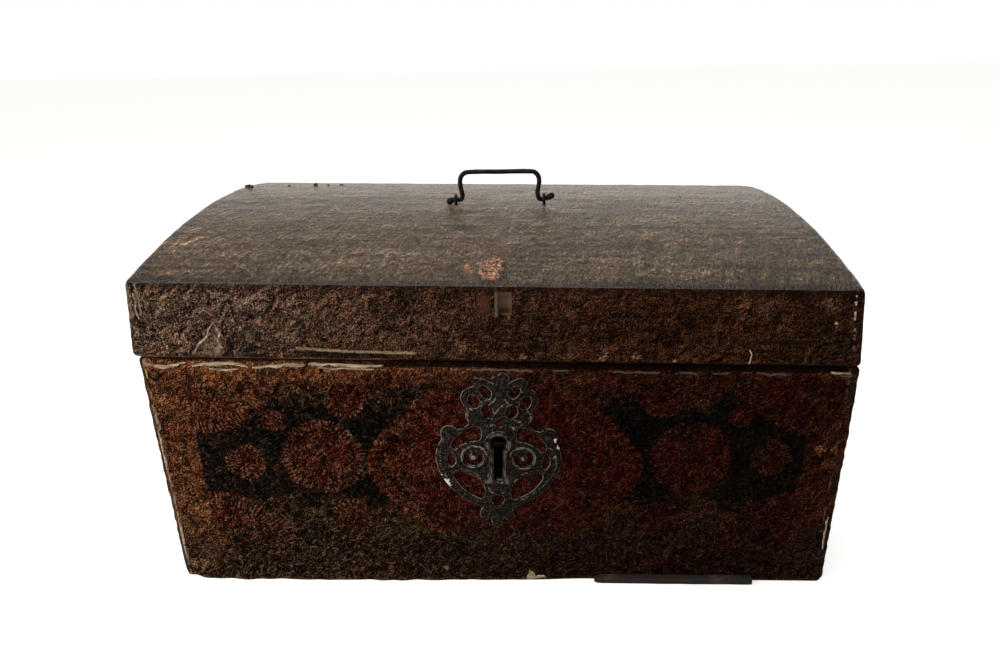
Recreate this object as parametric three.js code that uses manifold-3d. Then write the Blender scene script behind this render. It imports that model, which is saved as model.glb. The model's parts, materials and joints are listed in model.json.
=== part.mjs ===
// A small leather-covered coffer with a low arched lid, a pierced iron lock plate and a bail handle.
// Millimetres. +X is the object's right as seen from its front, +Y the back, +Z up, the floor at z = 0.

import * as THREE from 'three';
import { mergeVertices } from 'three/addons/utils/BufferGeometryUtils.js';
import Module from 'manifold-3d';

const wasm = await Module();
wasm.setup();

// Driving dimensions of the case
const lidWidth = 480; // over the leather, at the lid's lower edge
const lidFront = -159; // front face of the lid
const lidBack = 149; // back face of the lid and of the body
const rim = 180.8; // parting of lid and body, at mid width
const lidWall = 53.9; // height of the lid's upright front
const archRise = 19; // crown above the lid's upright front
const archPower = 2.1; // 2 is a parabola, more is flatter on top
const endLean = 6.15; // degrees that the lid's ends lean in
const bodyStepLeft = 1.9; // the body sits this far inside the lid at its left end
const bodyStepRight = -0.4; // and stands this far outside it at its right end
const bodyStepFront = 4;
const rimFall = 4.3; // the rim lies this much higher at the left end than at mid width, lower at the right
const board = 10;
const bottomThick = 9;
const staveThick = 9;
const leather = 1.4;
const lining = 0.6;
const lip = 8; // width of leather turned over each rim
const fit = 0.15; // gap between pieces that lie on each other
const archSteps = 24;
const staveEnds = [0, 5, 10, 14, 19, 24]; // joints between staves, counted in steps of the arch

// Driving dimensions of the ironwork
const lockX = 4; // middle of the lock plate and the lock
const keyBelow = 61.8; // from the rim down to the middle of the keyhole's round
const plateTurn = 2; // degrees that the lock plate is nailed on askew, clockwise from the front
const keyRound = 5.9; // radius
const keySlot = 3.3; // half width
const keyDrop = 29.5; // from the middle of the round to the slot's foot
const plateHalf = 44; // half its width
const plateThick = 1.4;
const collarRise = 2;
const collarWide = 3.8; // the guard's width round the keyhole's round, and beside its slot
const collarSide = 2.8;
const collarFlare = 4; // how far its foot spreads at each side
const nailHead = 2.7; // radius
const nailDome = 1.4;
const nailShank = 1; // radius
const nailLength = 9;
const boreGap = 0.35;
const seat = 0.05; // a nail's head or a fixed plate lies this close to what it holds
const handleX = 2.4;
const handleForward = 12; // from the lid's middle towards its front
const handleSpan = 60.8; // between the legs' centre lines
const handleReach = 21.6; // from the pivot to the centre line of the bar
const handleRod = 1.7; // radius
const handleBend = 6.5; // radius of the upper corners
const handleWaist = 1.2; // the legs draw in this much a little above the feet
const handleFoot = 3; // bend from a leg to its end
const handleEnd = 9.6; // how far each end runs outward past its leg
const handleKnob = 2.5; // radius
const eyeOut = 4.6; // from a leg to its eye
const eyeRing = 3.2; // radius of the ring's centre line
const eyeWire = 1.1;
const eyeHeight = 4.6; // pivot above the lid
const clinchReach = 7; // how far an eye's legs are bent over inside
const hingeX = 150;
const hingeWidth = 24;
const leafThick = 1.8;
const barrel = 3.2; // outer radius of the knuckles
const pinRadius = 1.4;
const pinGap = 0.2;
const pinHead = 0.9; // the pin's heads are this much wider than it
const knuckleSide = 7; // length of an outer knuckle
const knuckleGap = 0.3;
const rootGap = 0.4; // from the knuckles to a leaf's broad end
const leafDown = 44;
const leafUp = 38;
const openAngle = 105; // degrees at which the heel meets the lower leaf
const heelReach = 7.6;
const heelThick = 2.5;
const caseHalf = 36;
const caseBelow = 8.8; // from the rim down to the case's top
const caseTall = 92;
const caseDeep = 16;
const sheet = 1.5; // iron sheet of the lock case
const lugReach = 10; // ears by which the case is nailed on
const lugHalf = 6;
const lugBelow = 22; // from the case's top
const boltBelow = 30.8; // from the rim down to the bolt's lower edge
const boltHigh = 8;
const boltDeep = 4;
const boltSet = 6; // from the front of the case to the bolt
const boltRoom = 2.5; // from the case's wall to the bolt's left end
const boltNose = 11; // right end when drawn back
const talonLeft = -8; // notch in the bolt's lower edge that the key turns in
const talonWide = 7;
const talonHigh = 3;
const keeperIn = 10; // from the bolt's left end to its first keeper
const keeperRight = 2; // left side of the second, from the middle of the lock
const keeperWide = 5;
const keeperWall = 1.5;
const springThick = 1;
const springReach = 25; // from the case's wall to the spring's tip
const springFoot = 5;
const wardRound = 15; // outer radius of the ward round the key
const wardThick = 1.6;
const wardDeep = 6;
const catchX = 14.5; // middle of the catch's tongue, from the middle of the lock
const catchThick = 2.5;
const catchDrop = 33; // below the rim
const catchDeep = 12.5; // depth of the tongue inside the lock case
const catchSet = 1.6; // from the front of the case to the tongue
const catchBase = { half: 13, thick: 1.8, low: 11, high: 29 }; // its plate on the lid, from the rim
const catchWindow = 1.5; // room round the bolt
const stripInset = 51; // from the lid's right end to the strip
const stripLength = 116;
const stripHigh = 5.5;
const stripDeep = 4.8;
const notch = { left: 5.9, right: 14.7, low: 215.2, high: 230.8, deep: 6 }; // recess that a lost hasp left

// Places that follow from them
const half = lidWidth / 2;
const lean = Math.tan(THREE.MathUtils.degToRad(endLean));
const wallTop = rim + lidWall;
const crown = wallTop + archRise;
const lidMiddle = (lidFront + lidBack) / 2;
const lidDepth = lidBack - lidFront;
const handleY = lidMiddle - handleForward;
const body = {
  left: -half + bodyStepLeft,
  right: half - bodyStepRight,
  front: lidFront + bodyStepFront,
  back: lidBack,
};
const skin = leather + fit; // from an outer face to the wood behind it
const bodyTop = rim - fit;
const woodTop = bodyTop - skin;
const lidLow = rim + fit;
const lidWoodLow = lidLow + skin;
const frontInside = body.front + skin + board;
const backInside = body.back - skin - board;
const leftInside = body.left + skin + board;
const rightInside = body.right - skin - board;
const floorTop = bottomThick + fit + lining;
const keyZ = rim - keyBelow;
const caseHigh = rim - caseBelow;
const caseLow = caseHigh - caseTall;
const boltZ = rim - boltBelow;
const boltTail = -caseHalf + sheet + boltRoom;
const keeperLeft = boltTail + keeperIn;

// Materials
function finish(color, roughness, metalness = 0) {
  return new THREE.MeshStandardMaterial({ color, roughness, metalness });
}
const wood = finish(0x8a6a48, 0.85);
const darkWood = finish(0x3a2618, 0.85);
const lidSkin = finish(0x4a3426, 0.6);
const bodySkin = finish(0x3a1a12, 0.55);
const paper = finish(0xb9a582, 0.95);
const iron = finish(0x2b2725, 0.5, 0.8);
const wroughtIron = finish(0x3b3634, 0.4, 0.85);

const coffer = new THREE.Group();

// Booleans
function solid(geometry) {
  const plain = geometry.clone();
  plain.deleteAttribute('normal');
  plain.deleteAttribute('uv');
  const merged = mergeVertices(plain, 1e-4);
  return new wasm.Manifold(new wasm.Mesh({
    numProp: 3,
    vertProperties: new Float32Array(merged.attributes.position.array),
    triVerts: new Uint32Array(merged.index.array),
  }));
}

function geometryOf(shape) {
  const mesh = shape.getMesh();
  const geometry = new THREE.BufferGeometry();
  geometry.setAttribute('position', new THREE.BufferAttribute(new Float32Array(mesh.vertProperties), 3));
  geometry.setIndex(new THREE.BufferAttribute(new Uint32Array(mesh.triVerts), 1));
  geometry.computeVertexNormals();
  return geometry;
}

function join(...shapes) {
  return shapes.reduce((a, b) => a.add(b));
}

function cut(shape, cutters) {
  return cutters.reduce((a, b) => a.subtract(b), shape);
}

function add(name, shape, material) {
  const mesh = new THREE.Mesh(geometryOf(shape), material);
  mesh.name = name;
  coffer.add(mesh);
}

// Basic solids, placed in the coffer's own frame
function block(x0, x1, y0, y1, z0, z1) {
  const box = new THREE.BoxGeometry(x1 - x0, y1 - y0, z1 - z0);
  box.translate((x0 + x1) / 2, (y0 + y1) / 2, (z0 + z1) / 2);
  return solid(box);
}

function outline(points) {
  return new THREE.Shape(points.map(([a, b]) => new THREE.Vector2(a, b)));
}

function swept(shape, depth, xAxis, yAxis, zAxis, origin) {
  const geometry = new THREE.ExtrudeGeometry(shape, { depth, bevelEnabled: false, curveSegments: 6 });
  geometry.applyMatrix4(new THREE.Matrix4().makeBasis(xAxis, yAxis, zAxis).setPosition(origin));
  return solid(geometry);
}

const X = new THREE.Vector3(1, 0, 0);
const Y = new THREE.Vector3(0, 1, 0);
const Z = new THREE.Vector3(0, 0, 1);

// A shape drawn in (y, z), run along X
function alongX(shape, x0, x1) {
  return swept(shape, x1 - x0, Y, Z, X, new THREE.Vector3(x0, 0, 0));
}

// A shape drawn in (x, z), run along Y
function alongY(shape, y0, y1) {
  return swept(shape, y1 - y0, X, Z, Y.clone().negate(), new THREE.Vector3(0, y1, 0));
}

function rodX(radius, x0, x1, y, z, sides = 12) {
  const rod = new THREE.CylinderGeometry(radius, radius, x1 - x0, sides);
  rod.rotateZ(Math.PI / 2);
  rod.translate((x0 + x1) / 2, y, z);
  return solid(rod);
}

function rodY(radius, y0, y1, x, z, sides = 10) {
  const rod = new THREE.CylinderGeometry(radius, radius, y1 - y0, sides);
  rod.translate(x, (y0 + y1) / 2, z);
  return solid(rod);
}

function rodZ(radius, z0, z1, x, y, sides = 10) {
  const rod = new THREE.CylinderGeometry(radius, radius, z1 - z0, sides);
  rod.rotateX(Math.PI / 2);
  rod.translate(x, y, (z0 + z1) / 2);
  return solid(rod);
}

// The case has settled with age: its floor is level, and its rim falls from left to right,
// with the whole lid on it.
function settle(shape) {
  const geometry = geometryOf(shape);
  const position = geometry.attributes.position;
  for (let i = 0; i < position.count; i += 1) {
    const z = position.getZ(i);
    const share = THREE.MathUtils.clamp((z - bottomThick) / (rim - bottomThick), 0, 1);
    position.setZ(i, z - (rimFall * position.getX(i) * share) / half);
  }
  return solid(geometry);
}

// The arch of the lid
function archZ(y) {
  const reach = Math.min(1, Math.abs((2 * (y - lidMiddle)) / lidDepth));
  return wallTop + archRise * (1 - reach ** archPower);
}

// The top of the lid after settling
function lidTop(x, y) {
  return archZ(y) - (rimFall * x) / half;
}

function archLine(y0, y1, drop) {
  const stations = Array.from({ length: archSteps + 1 }, (_, i) => lidFront + (lidDepth * i) / archSteps);
  const inside = stations.filter((y) => y > y0 + 0.01 && y < y1 - 0.01);
  return [y0, ...inside, y1].map((y) => [y, archZ(y) - drop]);
}

// A layer under the arch, between two depths below its top
function archLayer(y0, y1, top, low) {
  const shape = outline([...archLine(y0, y1, low), ...archLine(y0, y1, top).reverse()]);
  return alongX(shape, -half, half);
}

// What lies under the arch, down to a level
function underArch(y0, y1, drop, low) {
  const shape = outline([[y0, low], [y1, low], ...archLine(y0, y1, drop).reverse()]);
  return alongX(shape, -half, half);
}

// The room between the lid's leaning ends, drawn in by an inset
function betweenEnds(inset) {
  const top = crown + 5;
  const low = rim - 5;
  const wide = half - inset - (low - rim) * lean;
  const narrow = half - inset - (top - rim) * lean;
  const shape = outline([[-wide, low], [wide, low], [narrow, top], [-narrow, top]]);
  return alongY(shape, lidFront - 5, lidBack + 5);
}

// Nails: a domed head and a short shank, with the head towards +Y
function nailGeometry() {
  const profile = [
    [0, -nailLength], [nailShank * 0.4, -nailLength], [nailShank, -nailLength + 2], [nailShank, 0],
    [nailHead, 0], [nailHead * 0.86, nailDome * 0.6], [nailHead * 0.5, nailDome * 0.92], [0, nailDome],
  ];
  return new THREE.LatheGeometry(profile.map(([r, y]) => new THREE.Vector2(r, y)), 10);
}

function nail(name, x, y, z, facesFront) {
  const geometry = nailGeometry();
  if (facesFront) geometry.rotateX(Math.PI);
  geometry.translate(x, facesFront ? y - seat : y + seat, z);
  add(name, solid(geometry), iron);
}

function nailBore(x, y, z) {
  return rodY(nailShank + boreGap, y - nailLength - 8, y + nailLength + 8, x, z);
}

// A place on the lock plate, from the middle of the keyhole's round, in (x, z)
function placed([u, v]) {
  const turn = THREE.MathUtils.degToRad(plateTurn);
  return new THREE.Vector2(
    lockX + u * Math.cos(turn) + v * Math.sin(turn),
    keyZ + v * Math.cos(turn) - u * Math.sin(turn),
  );
}

// A place in the drawing of the lock plate, whose half width is 44 there
function drawn([u, v]) {
  const scale = plateHalf / 44;
  return placed([u * scale, v * scale]);
}

function placedShape(points) {
  return new THREE.Shape(points.map((point) => placed(point)));
}

// A round with straight sides running down from it, as points on the lock plate
function slottedRound(round, side) {
  const meet = Math.asin(side / round);
  const steps = 18;
  return Array.from({ length: steps + 1 }, (_, i) => {
    const angle = -Math.PI / 2 + meet + ((2 * Math.PI - 2 * meet) * i) / steps;
    return [round * Math.cos(angle), round * Math.sin(angle)];
  });
}

// The keyhole, grown by a margin
function keyway(y0, y1, grow) {
  const side = keySlot + grow;
  const low = -keyDrop - grow;
  return alongY(placedShape([...slottedRound(keyRound + grow, side), [-side, low], [side, low]]), y0, y1);
}

// Nail places
const plateFace = body.front - fit - plateThick;
const plateNails = {
  lock_plate_nail_top: drawn([0, 38.5]).toArray(),
  lock_plate_nail_left: drawn([-34.2, 5.6]).toArray(),
  lock_plate_nail_right: drawn([34.2, 5.6]).toArray(),
  lock_plate_nail_bottom: drawn([0, -60]).toArray(),
};
const hingePlaces = [-hingeX, hingeX];
const hingeAxis = { y: lidBack + fit + barrel, z: rim };
const leafFace = lidBack + fit + leafThick;
const bodyNailDrops = [15, 34];
const lidNailRises = [13, 29];
const caseFace = frontInside + fit + lining + fit;
const caseLugs = [lockX - caseHalf - lugReach / 2, lockX + caseHalf + lugReach / 2];
const caseLugZ = caseHigh - lugBelow;
const boltY = caseFace + boltSet;
const catchFace = lidFront + skin + board + 2 * fit + lining;
const catchNails = [-1, 1].map((side) => lockX + catchX + side * (catchBase.half - 4.5));
const catchNailZ = rim + (catchBase.low + catchBase.high) / 2;

function bodyNailBores() {
  const front = Object.values(plateNails).map(([x, z]) => nailBore(x, body.front, z));
  const back = hingePlaces.flatMap((x) => bodyNailDrops.map((d) => nailBore(x, lidBack, hingeAxis.z - d)));
  const inner = caseLugs.map((x) => nailBore(x, frontInside, caseLugZ));
  return { front, back, inner };
}
const bores = bodyNailBores();
const lidNailHeights = lidNailRises.map((rise) => hingeAxis.z + rise);
const lidBackBores = hingePlaces.flatMap((x) => lidNailHeights.map((z) => nailBore(x, lidBack, z)));
const catchBores = catchNails.map((x) => nailBore(x, lidFront + skin + board, catchNailZ));

// Body
function buildBody() {
  const wood0 = { x0: body.left + skin, x1: body.right - skin, y0: body.front + skin, y1: body.back - skin };
  const low = bottomThick + fit;
  add('bottom_board', block(wood0.x0, wood0.x1, wood0.y0, wood0.y1, 0, bottomThick), wood);
  const front = settle(block(wood0.x0, wood0.x1, wood0.y0, wood0.y0 + board, low, woodTop));
  const keyCut = keyway(body.front - 1, frontInside + 5, 0.6);
  add('front_board', cut(front, [keyCut, ...bores.front, ...bores.inner]), wood);
  const back = settle(block(wood0.x0, wood0.x1, wood0.y1 - board, wood0.y1, low, woodTop));
  add('back_board', cut(back, bores.back), wood);
  const inner = [wood0.y0 + board + fit, wood0.y1 - board - fit];
  add('left_end_board', settle(block(wood0.x0, wood0.x0 + board, ...inner, low, woodTop)), wood);
  add('right_end_board', settle(block(wood0.x1 - board, wood0.x1, ...inner, low, woodTop)), wood);

  const stripRight = half - stripInset;
  const strip = block(stripRight - stripLength, stripRight, body.front - fit - stripDeep, body.front - fit,
    0, stripHigh);
  add('base_strip', strip, darkWood);

  const liningTop = woodTop - 3;
  const outer = block(
    leftInside + fit, rightInside - fit,
    frontInside + fit, backInside - fit, low, liningTop,
  );
  const hollow = block(
    leftInside + fit + lining, rightInside - fit - lining,
    frontInside + fit + lining, backInside - fit - lining, floorTop, rim + 5,
  );
  add('body_lining', cut(settle(outer.subtract(hollow)), [keyCut, ...bores.inner]), paper);
}

// Leather on the body: a sheet on each side, turned over the rim
function buildBodyLeather() {
  const clear = 0.4; // above the floor
  const lipLow = bodyTop - leather;
  const front = join(
    block(body.left, body.right, body.front, body.front + leather, clear, bodyTop),
    block(body.left, body.right, body.front + leather / 2, body.front + lip, lipLow, bodyTop),
  );
  const keyCut = keyway(body.front - 1, frontInside, 0.3);
  add('front_leather', cut(settle(front), [keyCut, ...bores.front]), bodySkin);
  const back = join(
    block(body.left, body.right, body.back - leather, body.back, clear, bodyTop),
    block(body.left, body.right, body.back - lip, body.back - leather / 2, lipLow, bodyTop),
  );
  add('back_leather', cut(settle(back), bores.back), bodySkin);
  const sides = [body.front + skin, body.back - skin];
  const lips = [body.front + lip + fit, body.back - lip - fit];
  const left = join(
    block(body.left, body.left + leather, ...sides, clear, lipLow - fit),
    block(body.left, body.left + leather, ...lips, lipLow - 2, bodyTop),
    block(body.left + leather / 2, body.left + lip, ...lips, lipLow, bodyTop),
  );
  add('left_leather', settle(left), bodySkin);
  const right = join(
    block(body.right - leather, body.right, ...sides, clear, lipLow - fit),
    block(body.right - leather, body.right, ...lips, lipLow - 2, bodyTop),
    block(body.right - lip, body.right - leather / 2, ...lips, lipLow, bodyTop),
  );
  add('right_leather', settle(right), bodySkin);
}

// Lid woodwork
function notchCut(extra) {
  return block(notch.left - extra, notch.right + extra, lidFront - 1, lidFront + notch.deep,
    notch.low - extra, notch.high + extra);
}

function buildLidWood() {
  const front = lidFront + skin;
  const back = lidBack - skin;
  const ends = betweenEnds(skin);
  const railDrop = skin + staveThick + fit;
  const frontRail = settle(underArch(front, front + board, railDrop, lidWoodLow).intersect(ends));
  add('lid_front_rail', cut(frontRail, [notchCut(0), ...catchBores]), wood);
  const backRail = settle(underArch(back - board, back, railDrop, lidWoodLow).intersect(ends));
  add('lid_back_rail', cut(backRail, lidBackBores), wood);
  const endPanel = underArch(front + board + fit, back - board - fit, railDrop, lidWoodLow)
    .intersect(ends)
    .subtract(betweenEnds(skin + board));
  const leftSide = block(-half, 0, lidFront, lidBack, rim, crown);
  const rightSide = block(0, half, lidFront, lidBack, rim, crown);
  add('lid_left_end', settle(endPanel.intersect(leftSide)), wood);
  add('lid_right_end', settle(endPanel.intersect(rightSide)), wood);
  for (let i = 0; i + 1 < staveEnds.length; i += 1) {
    const first = i === 0;
    const last = i + 2 === staveEnds.length;
    const y0 = first ? front : lidFront + (lidDepth * staveEnds[i]) / archSteps + fit;
    const y1 = last ? back : lidFront + (lidDepth * staveEnds[i + 1]) / archSteps - fit;
    const stave = settle(archLayer(y0, y1, skin, skin + staveThick).intersect(ends));
    const cutters = first ? [notchCut(0)] : [];
    add(`lid_stave_${i + 1}`, cut(stave, [...cutters, ...eyeBores()]), wood);
  }
  const deep = skin + staveThick + fit;
  const outer = underArch(front + board + fit, back - board - fit, deep, lidWoodLow + 3)
    .intersect(betweenEnds(skin + board + fit));
  const hollow = underArch(front + board + fit + lining, back - board - fit - lining, deep + lining, rim - 2)
    .intersect(betweenEnds(skin + board + fit + lining));
  add('lid_lining', cut(settle(outer.subtract(hollow)), [...catchBores, ...eyeBores()]), paper);
}

// Leather on the lid
function buildLidLeather() {
  const ends = betweenEnds(0);
  const lipHigh = lidLow + leather;
  const top = settle(archLayer(lidFront, lidBack, 0, leather).intersect(ends));
  add('lid_top_leather', cut(top, eyeBores()), lidSkin);
  const front = join(
    underArch(lidFront, lidFront + leather, skin, lidLow),
    block(-half, half, lidFront + leather / 2, lidFront + lip, lidLow, lipHigh),
  ).intersect(ends);
  add('lid_front_leather', cut(settle(front), [notchCut(0.4)]), lidSkin);
  const back = join(
    underArch(lidBack - leather, lidBack, skin, lidLow),
    block(-half, half, lidBack - lip, lidBack - leather / 2, lidLow, lipHigh),
  ).intersect(ends);
  add('lid_back_leather', cut(settle(back), lidBackBores), lidSkin);
  const panel = underArch(lidFront + skin, lidBack - skin, skin, lipHigh + fit)
    .add(underArch(lidFront + lip + fit, lidBack - lip - fit, skin, lidLow))
    .intersect(ends);
  const flat = block(-half, half, lidFront, lidBack, lipHigh, crown + 5);
  const kept = cut(panel, [flat.intersect(betweenEnds(leather)), betweenEnds(lip).intersect(slabAtRim())]);
  add('lid_left_leather', settle(kept.intersect(block(-half, 0, lidFront, lidBack, rim, crown))), lidSkin);
  add('lid_right_leather', settle(kept.intersect(block(0, half, lidFront, lidBack, rim, crown))), lidSkin);
}

function slabAtRim() {
  return block(-half, half, lidFront, lidBack, rim - 1, lidLow + leather + 0.01);
}

// Lock plate: half of its outline and of its piercing, from the keyhole's round, the other half mirrored
const plateEdge = [
  [[0, 54.5], [4.5, 53], [6.5, 49], [5, 45.5]],
  [[5, 45.5], [9, 48.5], [14.5, 50.5], [18.5, 47.5], [18, 43]],
  [[18, 43], [23.5, 41], [26.5, 36], [25.5, 30.5], [22.5, 26], [23, 20], [21, 14.5]],
  [[21, 14.5], [24.5, 10.8], [29, 9.8]],
  [[29, 9.8], [33, 12.5], [38, 11.5], [40.5, 7], [39.5, 2]],
  [[39.5, 2], [42.8, -5], [44, -13], [42.2, -23], [37.5, -33], [30, -42], [20, -49.5], [10.5, -54]],
  [[10.5, -54], [12.5, -58], [11.5, -63], [7.5, -65], [4.5, -62]],
  [[4.5, -62], [4, -67], [0, -73]],
];
const plateHoles = [
  [[5.5, 38.5], [9.5, 43.5], [13.5, 43], [13, 38], [9, 34.5]],
  [[14, 33.5], [19.5, 37], [21.5, 32.5], [18.5, 27], [14.5, 27.5]],
  [[5, 27], [10, 29.5], [12.5, 24.5], [9, 19.5], [4.5, 21]],
  [[14, 9.5], [20, 10], [27, 4.5], [33, -2], [31, -6.5], [25.5, -3.5], [19, -1.5], [13.5, 1]],
  [[33.5, -8.5], [36, -14], [33.5, -20.5], [30, -17], [31, -12]],
  [[9.5, -39], [13, -31], [20, -26.5], [28, -24], [31.5, -27.5], [26, -37], [18, -43.5], [11, -46.5]],
];
const volute = { u: 17.5, v: -12, outer: 7, inner: 2.6, from: -205, to: 65 };
const bottomHole = [[0, -43.5], [4.5, -45], [3.5, -50], [0, -52.5], [-3.5, -50], [-4.5, -45]];
const roofHole = [[0, 18], [3, 14.5], [0, 12.4], [-3, 14.5]];

function plateShape() {
  const steps = 3; // points to each stretch of the edge
  const right = plateEdge.flatMap((run) => {
    const curve = new THREE.SplineCurve(run.map(([u, v]) => new THREE.Vector2(u, v)));
    return curve.getPoints((run.length - 1) * steps).slice(0, -1).map((p) => p.toArray());
  });
  const left = right.slice(1).reverse().map(([u, v]) => [-u, v]);
  return new THREE.Shape([...right, plateEdge.at(-1).at(-1), ...left].map((point) => drawn(point)));
}

function loopShape(points, side) {
  const curve = new THREE.CatmullRomCurve3(points.map(([u, v]) => new THREE.Vector3(side * u, v, 0)), true);
  return new THREE.Shape(curve.getPoints(points.length * 3).slice(0, -1).map((p) => drawn([p.x, p.y])));
}

function voluteShape(side) {
  const steps = 12;
  const arc = (radius, a, b) => Array.from({ length: steps + 1 }, (_, i) => {
    const angle = THREE.MathUtils.degToRad(a + ((b - a) * i) / steps);
    return [side * (volute.u + radius * Math.cos(angle)), volute.v + radius * Math.sin(angle)];
  });
  const { outer, inner, from, to } = volute;
  return new THREE.Shape([...arc(outer, from, to), ...arc(inner, to, from)].map((point) => drawn(point)));
}

function pierced(shape) {
  return alongY(shape, plateFace - 3, body.front + 3);
}

function buildLockPlate() {
  const back = body.front - fit;
  const holes = [1, -1].flatMap((side) => [
    ...plateHoles.map((points) => pierced(loopShape(points, side))),
    pierced(voluteShape(side)),
  ]);
  holes.push(pierced(loopShape(bottomHole, 1)), pierced(loopShape(roofHole, 1)));
  const plate = alongY(plateShape(), plateFace, back);
  const keyCut = keyway(plateFace - 2, back + 2, 0);
  add('lock_plate', cut(plate, [...holes, keyCut, ...bores.front]), wroughtIron);
  for (const [name, [x, z]] of Object.entries(plateNails)) nail(name, x, plateFace, z, true);
  buildCollar();
}

// The raised guard round the keyhole, flared at its foot
function buildCollar() {
  const side = keySlot + collarSide;
  const foot = -keyDrop - 0.9 * collarFlare;
  const flare = [[0, 3], [0.12, 2], [0.45, 1.25], [1, 0.9], [0.85, 0]]
    .map(([u, v]) => [side + u * collarFlare, foot + v * collarFlare]);
  const mirrored = flare.map(([u, v]) => [-u, v]);
  const points = [...slottedRound(keyRound + collarWide, side), ...mirrored, ...flare.reverse()];
  const top = plateFace - seat;
  const guard = alongY(placedShape(points), top - collarRise, top);
  add('keyhole_collar', guard.subtract(keyway(top - collarRise - 1, top + 1, 0)), wroughtIron);
}

// Lock case and what it holds, on the inner face of the front board
function buildLock() {
  const y0 = caseFace;
  const y1 = y0 + caseDeep;
  const inner = y1 - sheet;
  const shell = block(lockX - caseHalf, lockX + caseHalf, y0, y1, caseLow, caseHigh)
    .subtract(block(lockX - caseHalf + sheet, lockX + caseHalf - sheet, y0 - 1, inner,
      caseLow + sheet, caseHigh - sheet));
  const lugs = [-1, 1].map((side) => {
    const near = lockX + side * (caseHalf - sheet / 2);
    const far = lockX + side * (caseHalf + lugReach);
    return block(Math.min(near, far), Math.max(near, far), y0, y0 + sheet,
      caseLugZ - lugHalf, caseLugZ + lugHalf);
  });
  const tongueX = lockX + catchX;
  const slot = block(tongueX - catchThick / 2 - 1.2, tongueX + catchThick / 2 + 1.2, y0 - 1, inner,
    caseHigh - sheet - 1, caseHigh + 1);
  const keyTip = rodY(3, inner - 1, y1 + 1, lockX, keyZ);
  add('lock_case', cut(join(shell, ...lugs), [slot, keyTip, ...bores.inner]), iron);
  nail('lock_case_nail_left', caseLugs[0], y0 + sheet, caseLugZ, false);
  nail('lock_case_nail_right', caseLugs[1], y0 + sheet, caseLugZ, false);

  const boltTop = boltZ + boltHigh;
  const bolt = block(lockX + boltTail, lockX + boltNose, boltY, boltY + boltDeep, boltZ, boltTop);
  const talon = block(lockX + talonLeft, lockX + talonLeft + talonWide, boltY - 1, boltY + boltDeep + 1,
    boltZ - 1, boltZ + talonHigh);
  add('lock_bolt', bolt.subtract(talon), wroughtIron);

  const keepers = { bolt_keeper_left: lockX + keeperLeft, bolt_keeper_right: lockX + keeperRight };
  for (const [name, x] of Object.entries(keepers)) {
    const frame = block(x, x + keeperWide, boltY - keeperWall, inner - seat,
      boltZ - keeperWall, boltTop + keeperWall);
    const passage = block(x - 1, x + keeperWide + 1, boltY - fit, boltY + boltDeep + fit,
      boltZ - fit, boltTop + fit);
    add(name, frame.subtract(passage), iron);
  }

  // A leaf spring from the case's wall that bears down on the bolt
  const wall = lockX - caseHalf + sheet + seat;
  const springTop = boltTop + 9;
  const bear = boltTop + 1.4; // underside where the leaf starts to bear
  const spring = new THREE.Shape();
  spring.moveTo(wall, springTop);
  spring.lineTo(wall, springTop - springFoot);
  spring.lineTo(wall + springThick, springTop - springFoot);
  spring.lineTo(wall + springThick, springTop - springThick);
  const bend = wall + springReach * 0.56;
  spring.quadraticCurveTo(bend, springTop - springThick, wall + springReach * 0.78, bear);
  spring.quadraticCurveTo(wall + springReach * 0.9, boltTop - 0.2, wall + springReach, bear + springThick);
  spring.lineTo(wall + springReach, bear + 2 * springThick);
  spring.quadraticCurveTo(wall + springReach * 0.9, bear, wall + springReach * 0.8, bear + springThick);
  spring.quadraticCurveTo(bend, springTop, wall, springTop);
  add('bolt_spring', alongY(spring, boltY + 0.5, boltY + boltDeep - 0.5), wroughtIron);

  const wardEnd = 0.08 * Math.PI; // it rises this far past level at each side
  const ward = new THREE.Shape();
  ward.absarc(lockX, keyZ, wardRound, Math.PI - wardEnd, 2 * Math.PI + wardEnd, false);
  ward.absarc(lockX, keyZ, wardRound - wardThick, 2 * Math.PI + wardEnd, Math.PI - wardEnd, true);
  ward.closePath();
  add('key_ward', alongY(ward, inner - wardDeep, inner - seat), wroughtIron);
}

// The catch on the lid that drops into the lock case for the bolt to hold
function buildCatch() {
  const x = lockX + catchX;
  const front = caseFace + catchSet;
  const back = front + catchDeep;
  const low = rim - catchDrop;
  const top = rim + catchBase.high;
  const arm = outline([
    [catchFace, rim + catchBase.low + 1], [catchFace, top - 1], [catchFace + 4, top - 1], [back, rim + 14],
    [back, low + 2], [back - 2, low], [front + 2, low], [front, low + 2], [front, rim + 4],
    [catchFace + 2.2, rim + 7],
  ]);
  const tongue = alongX(arm, x - catchThick / 2, x + catchThick / 2);
  const windowCut = block(x - catchThick, x + catchThick, boltY - catchWindow, boltY + boltDeep + catchWindow,
    boltZ - catchWindow, boltZ + boltHigh + catchWindow);
  const base = block(x - catchBase.half, x + catchBase.half, catchFace, catchFace + catchBase.thick,
    rim + catchBase.low, top);
  add('lid_catch', cut(join(base, tongue), [windowCut, ...catchBores]), iron);
  nail('catch_nail_left', catchNails[0], catchFace + catchBase.thick, catchNailZ, false);
  nail('catch_nail_right', catchNails[1], catchFace + catchBase.thick, catchNailZ, false);
}

// Hinges: nailed leaves on the back, three knuckles round a pin, and a heel that stops the lid past upright
function leaf(x, near, far) {
  const width = hingeWidth / 2;
  const tip = far + Math.sign(near - far) * 6;
  const shape = outline([
    [x - width, near], [x + width, near], [x + width * 0.72, tip],
    [x + width * 0.4, far], [x - width * 0.4, far], [x - width * 0.72, tip],
  ]);
  return alongY(shape, lidBack + fit, leafFace);
}

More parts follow.
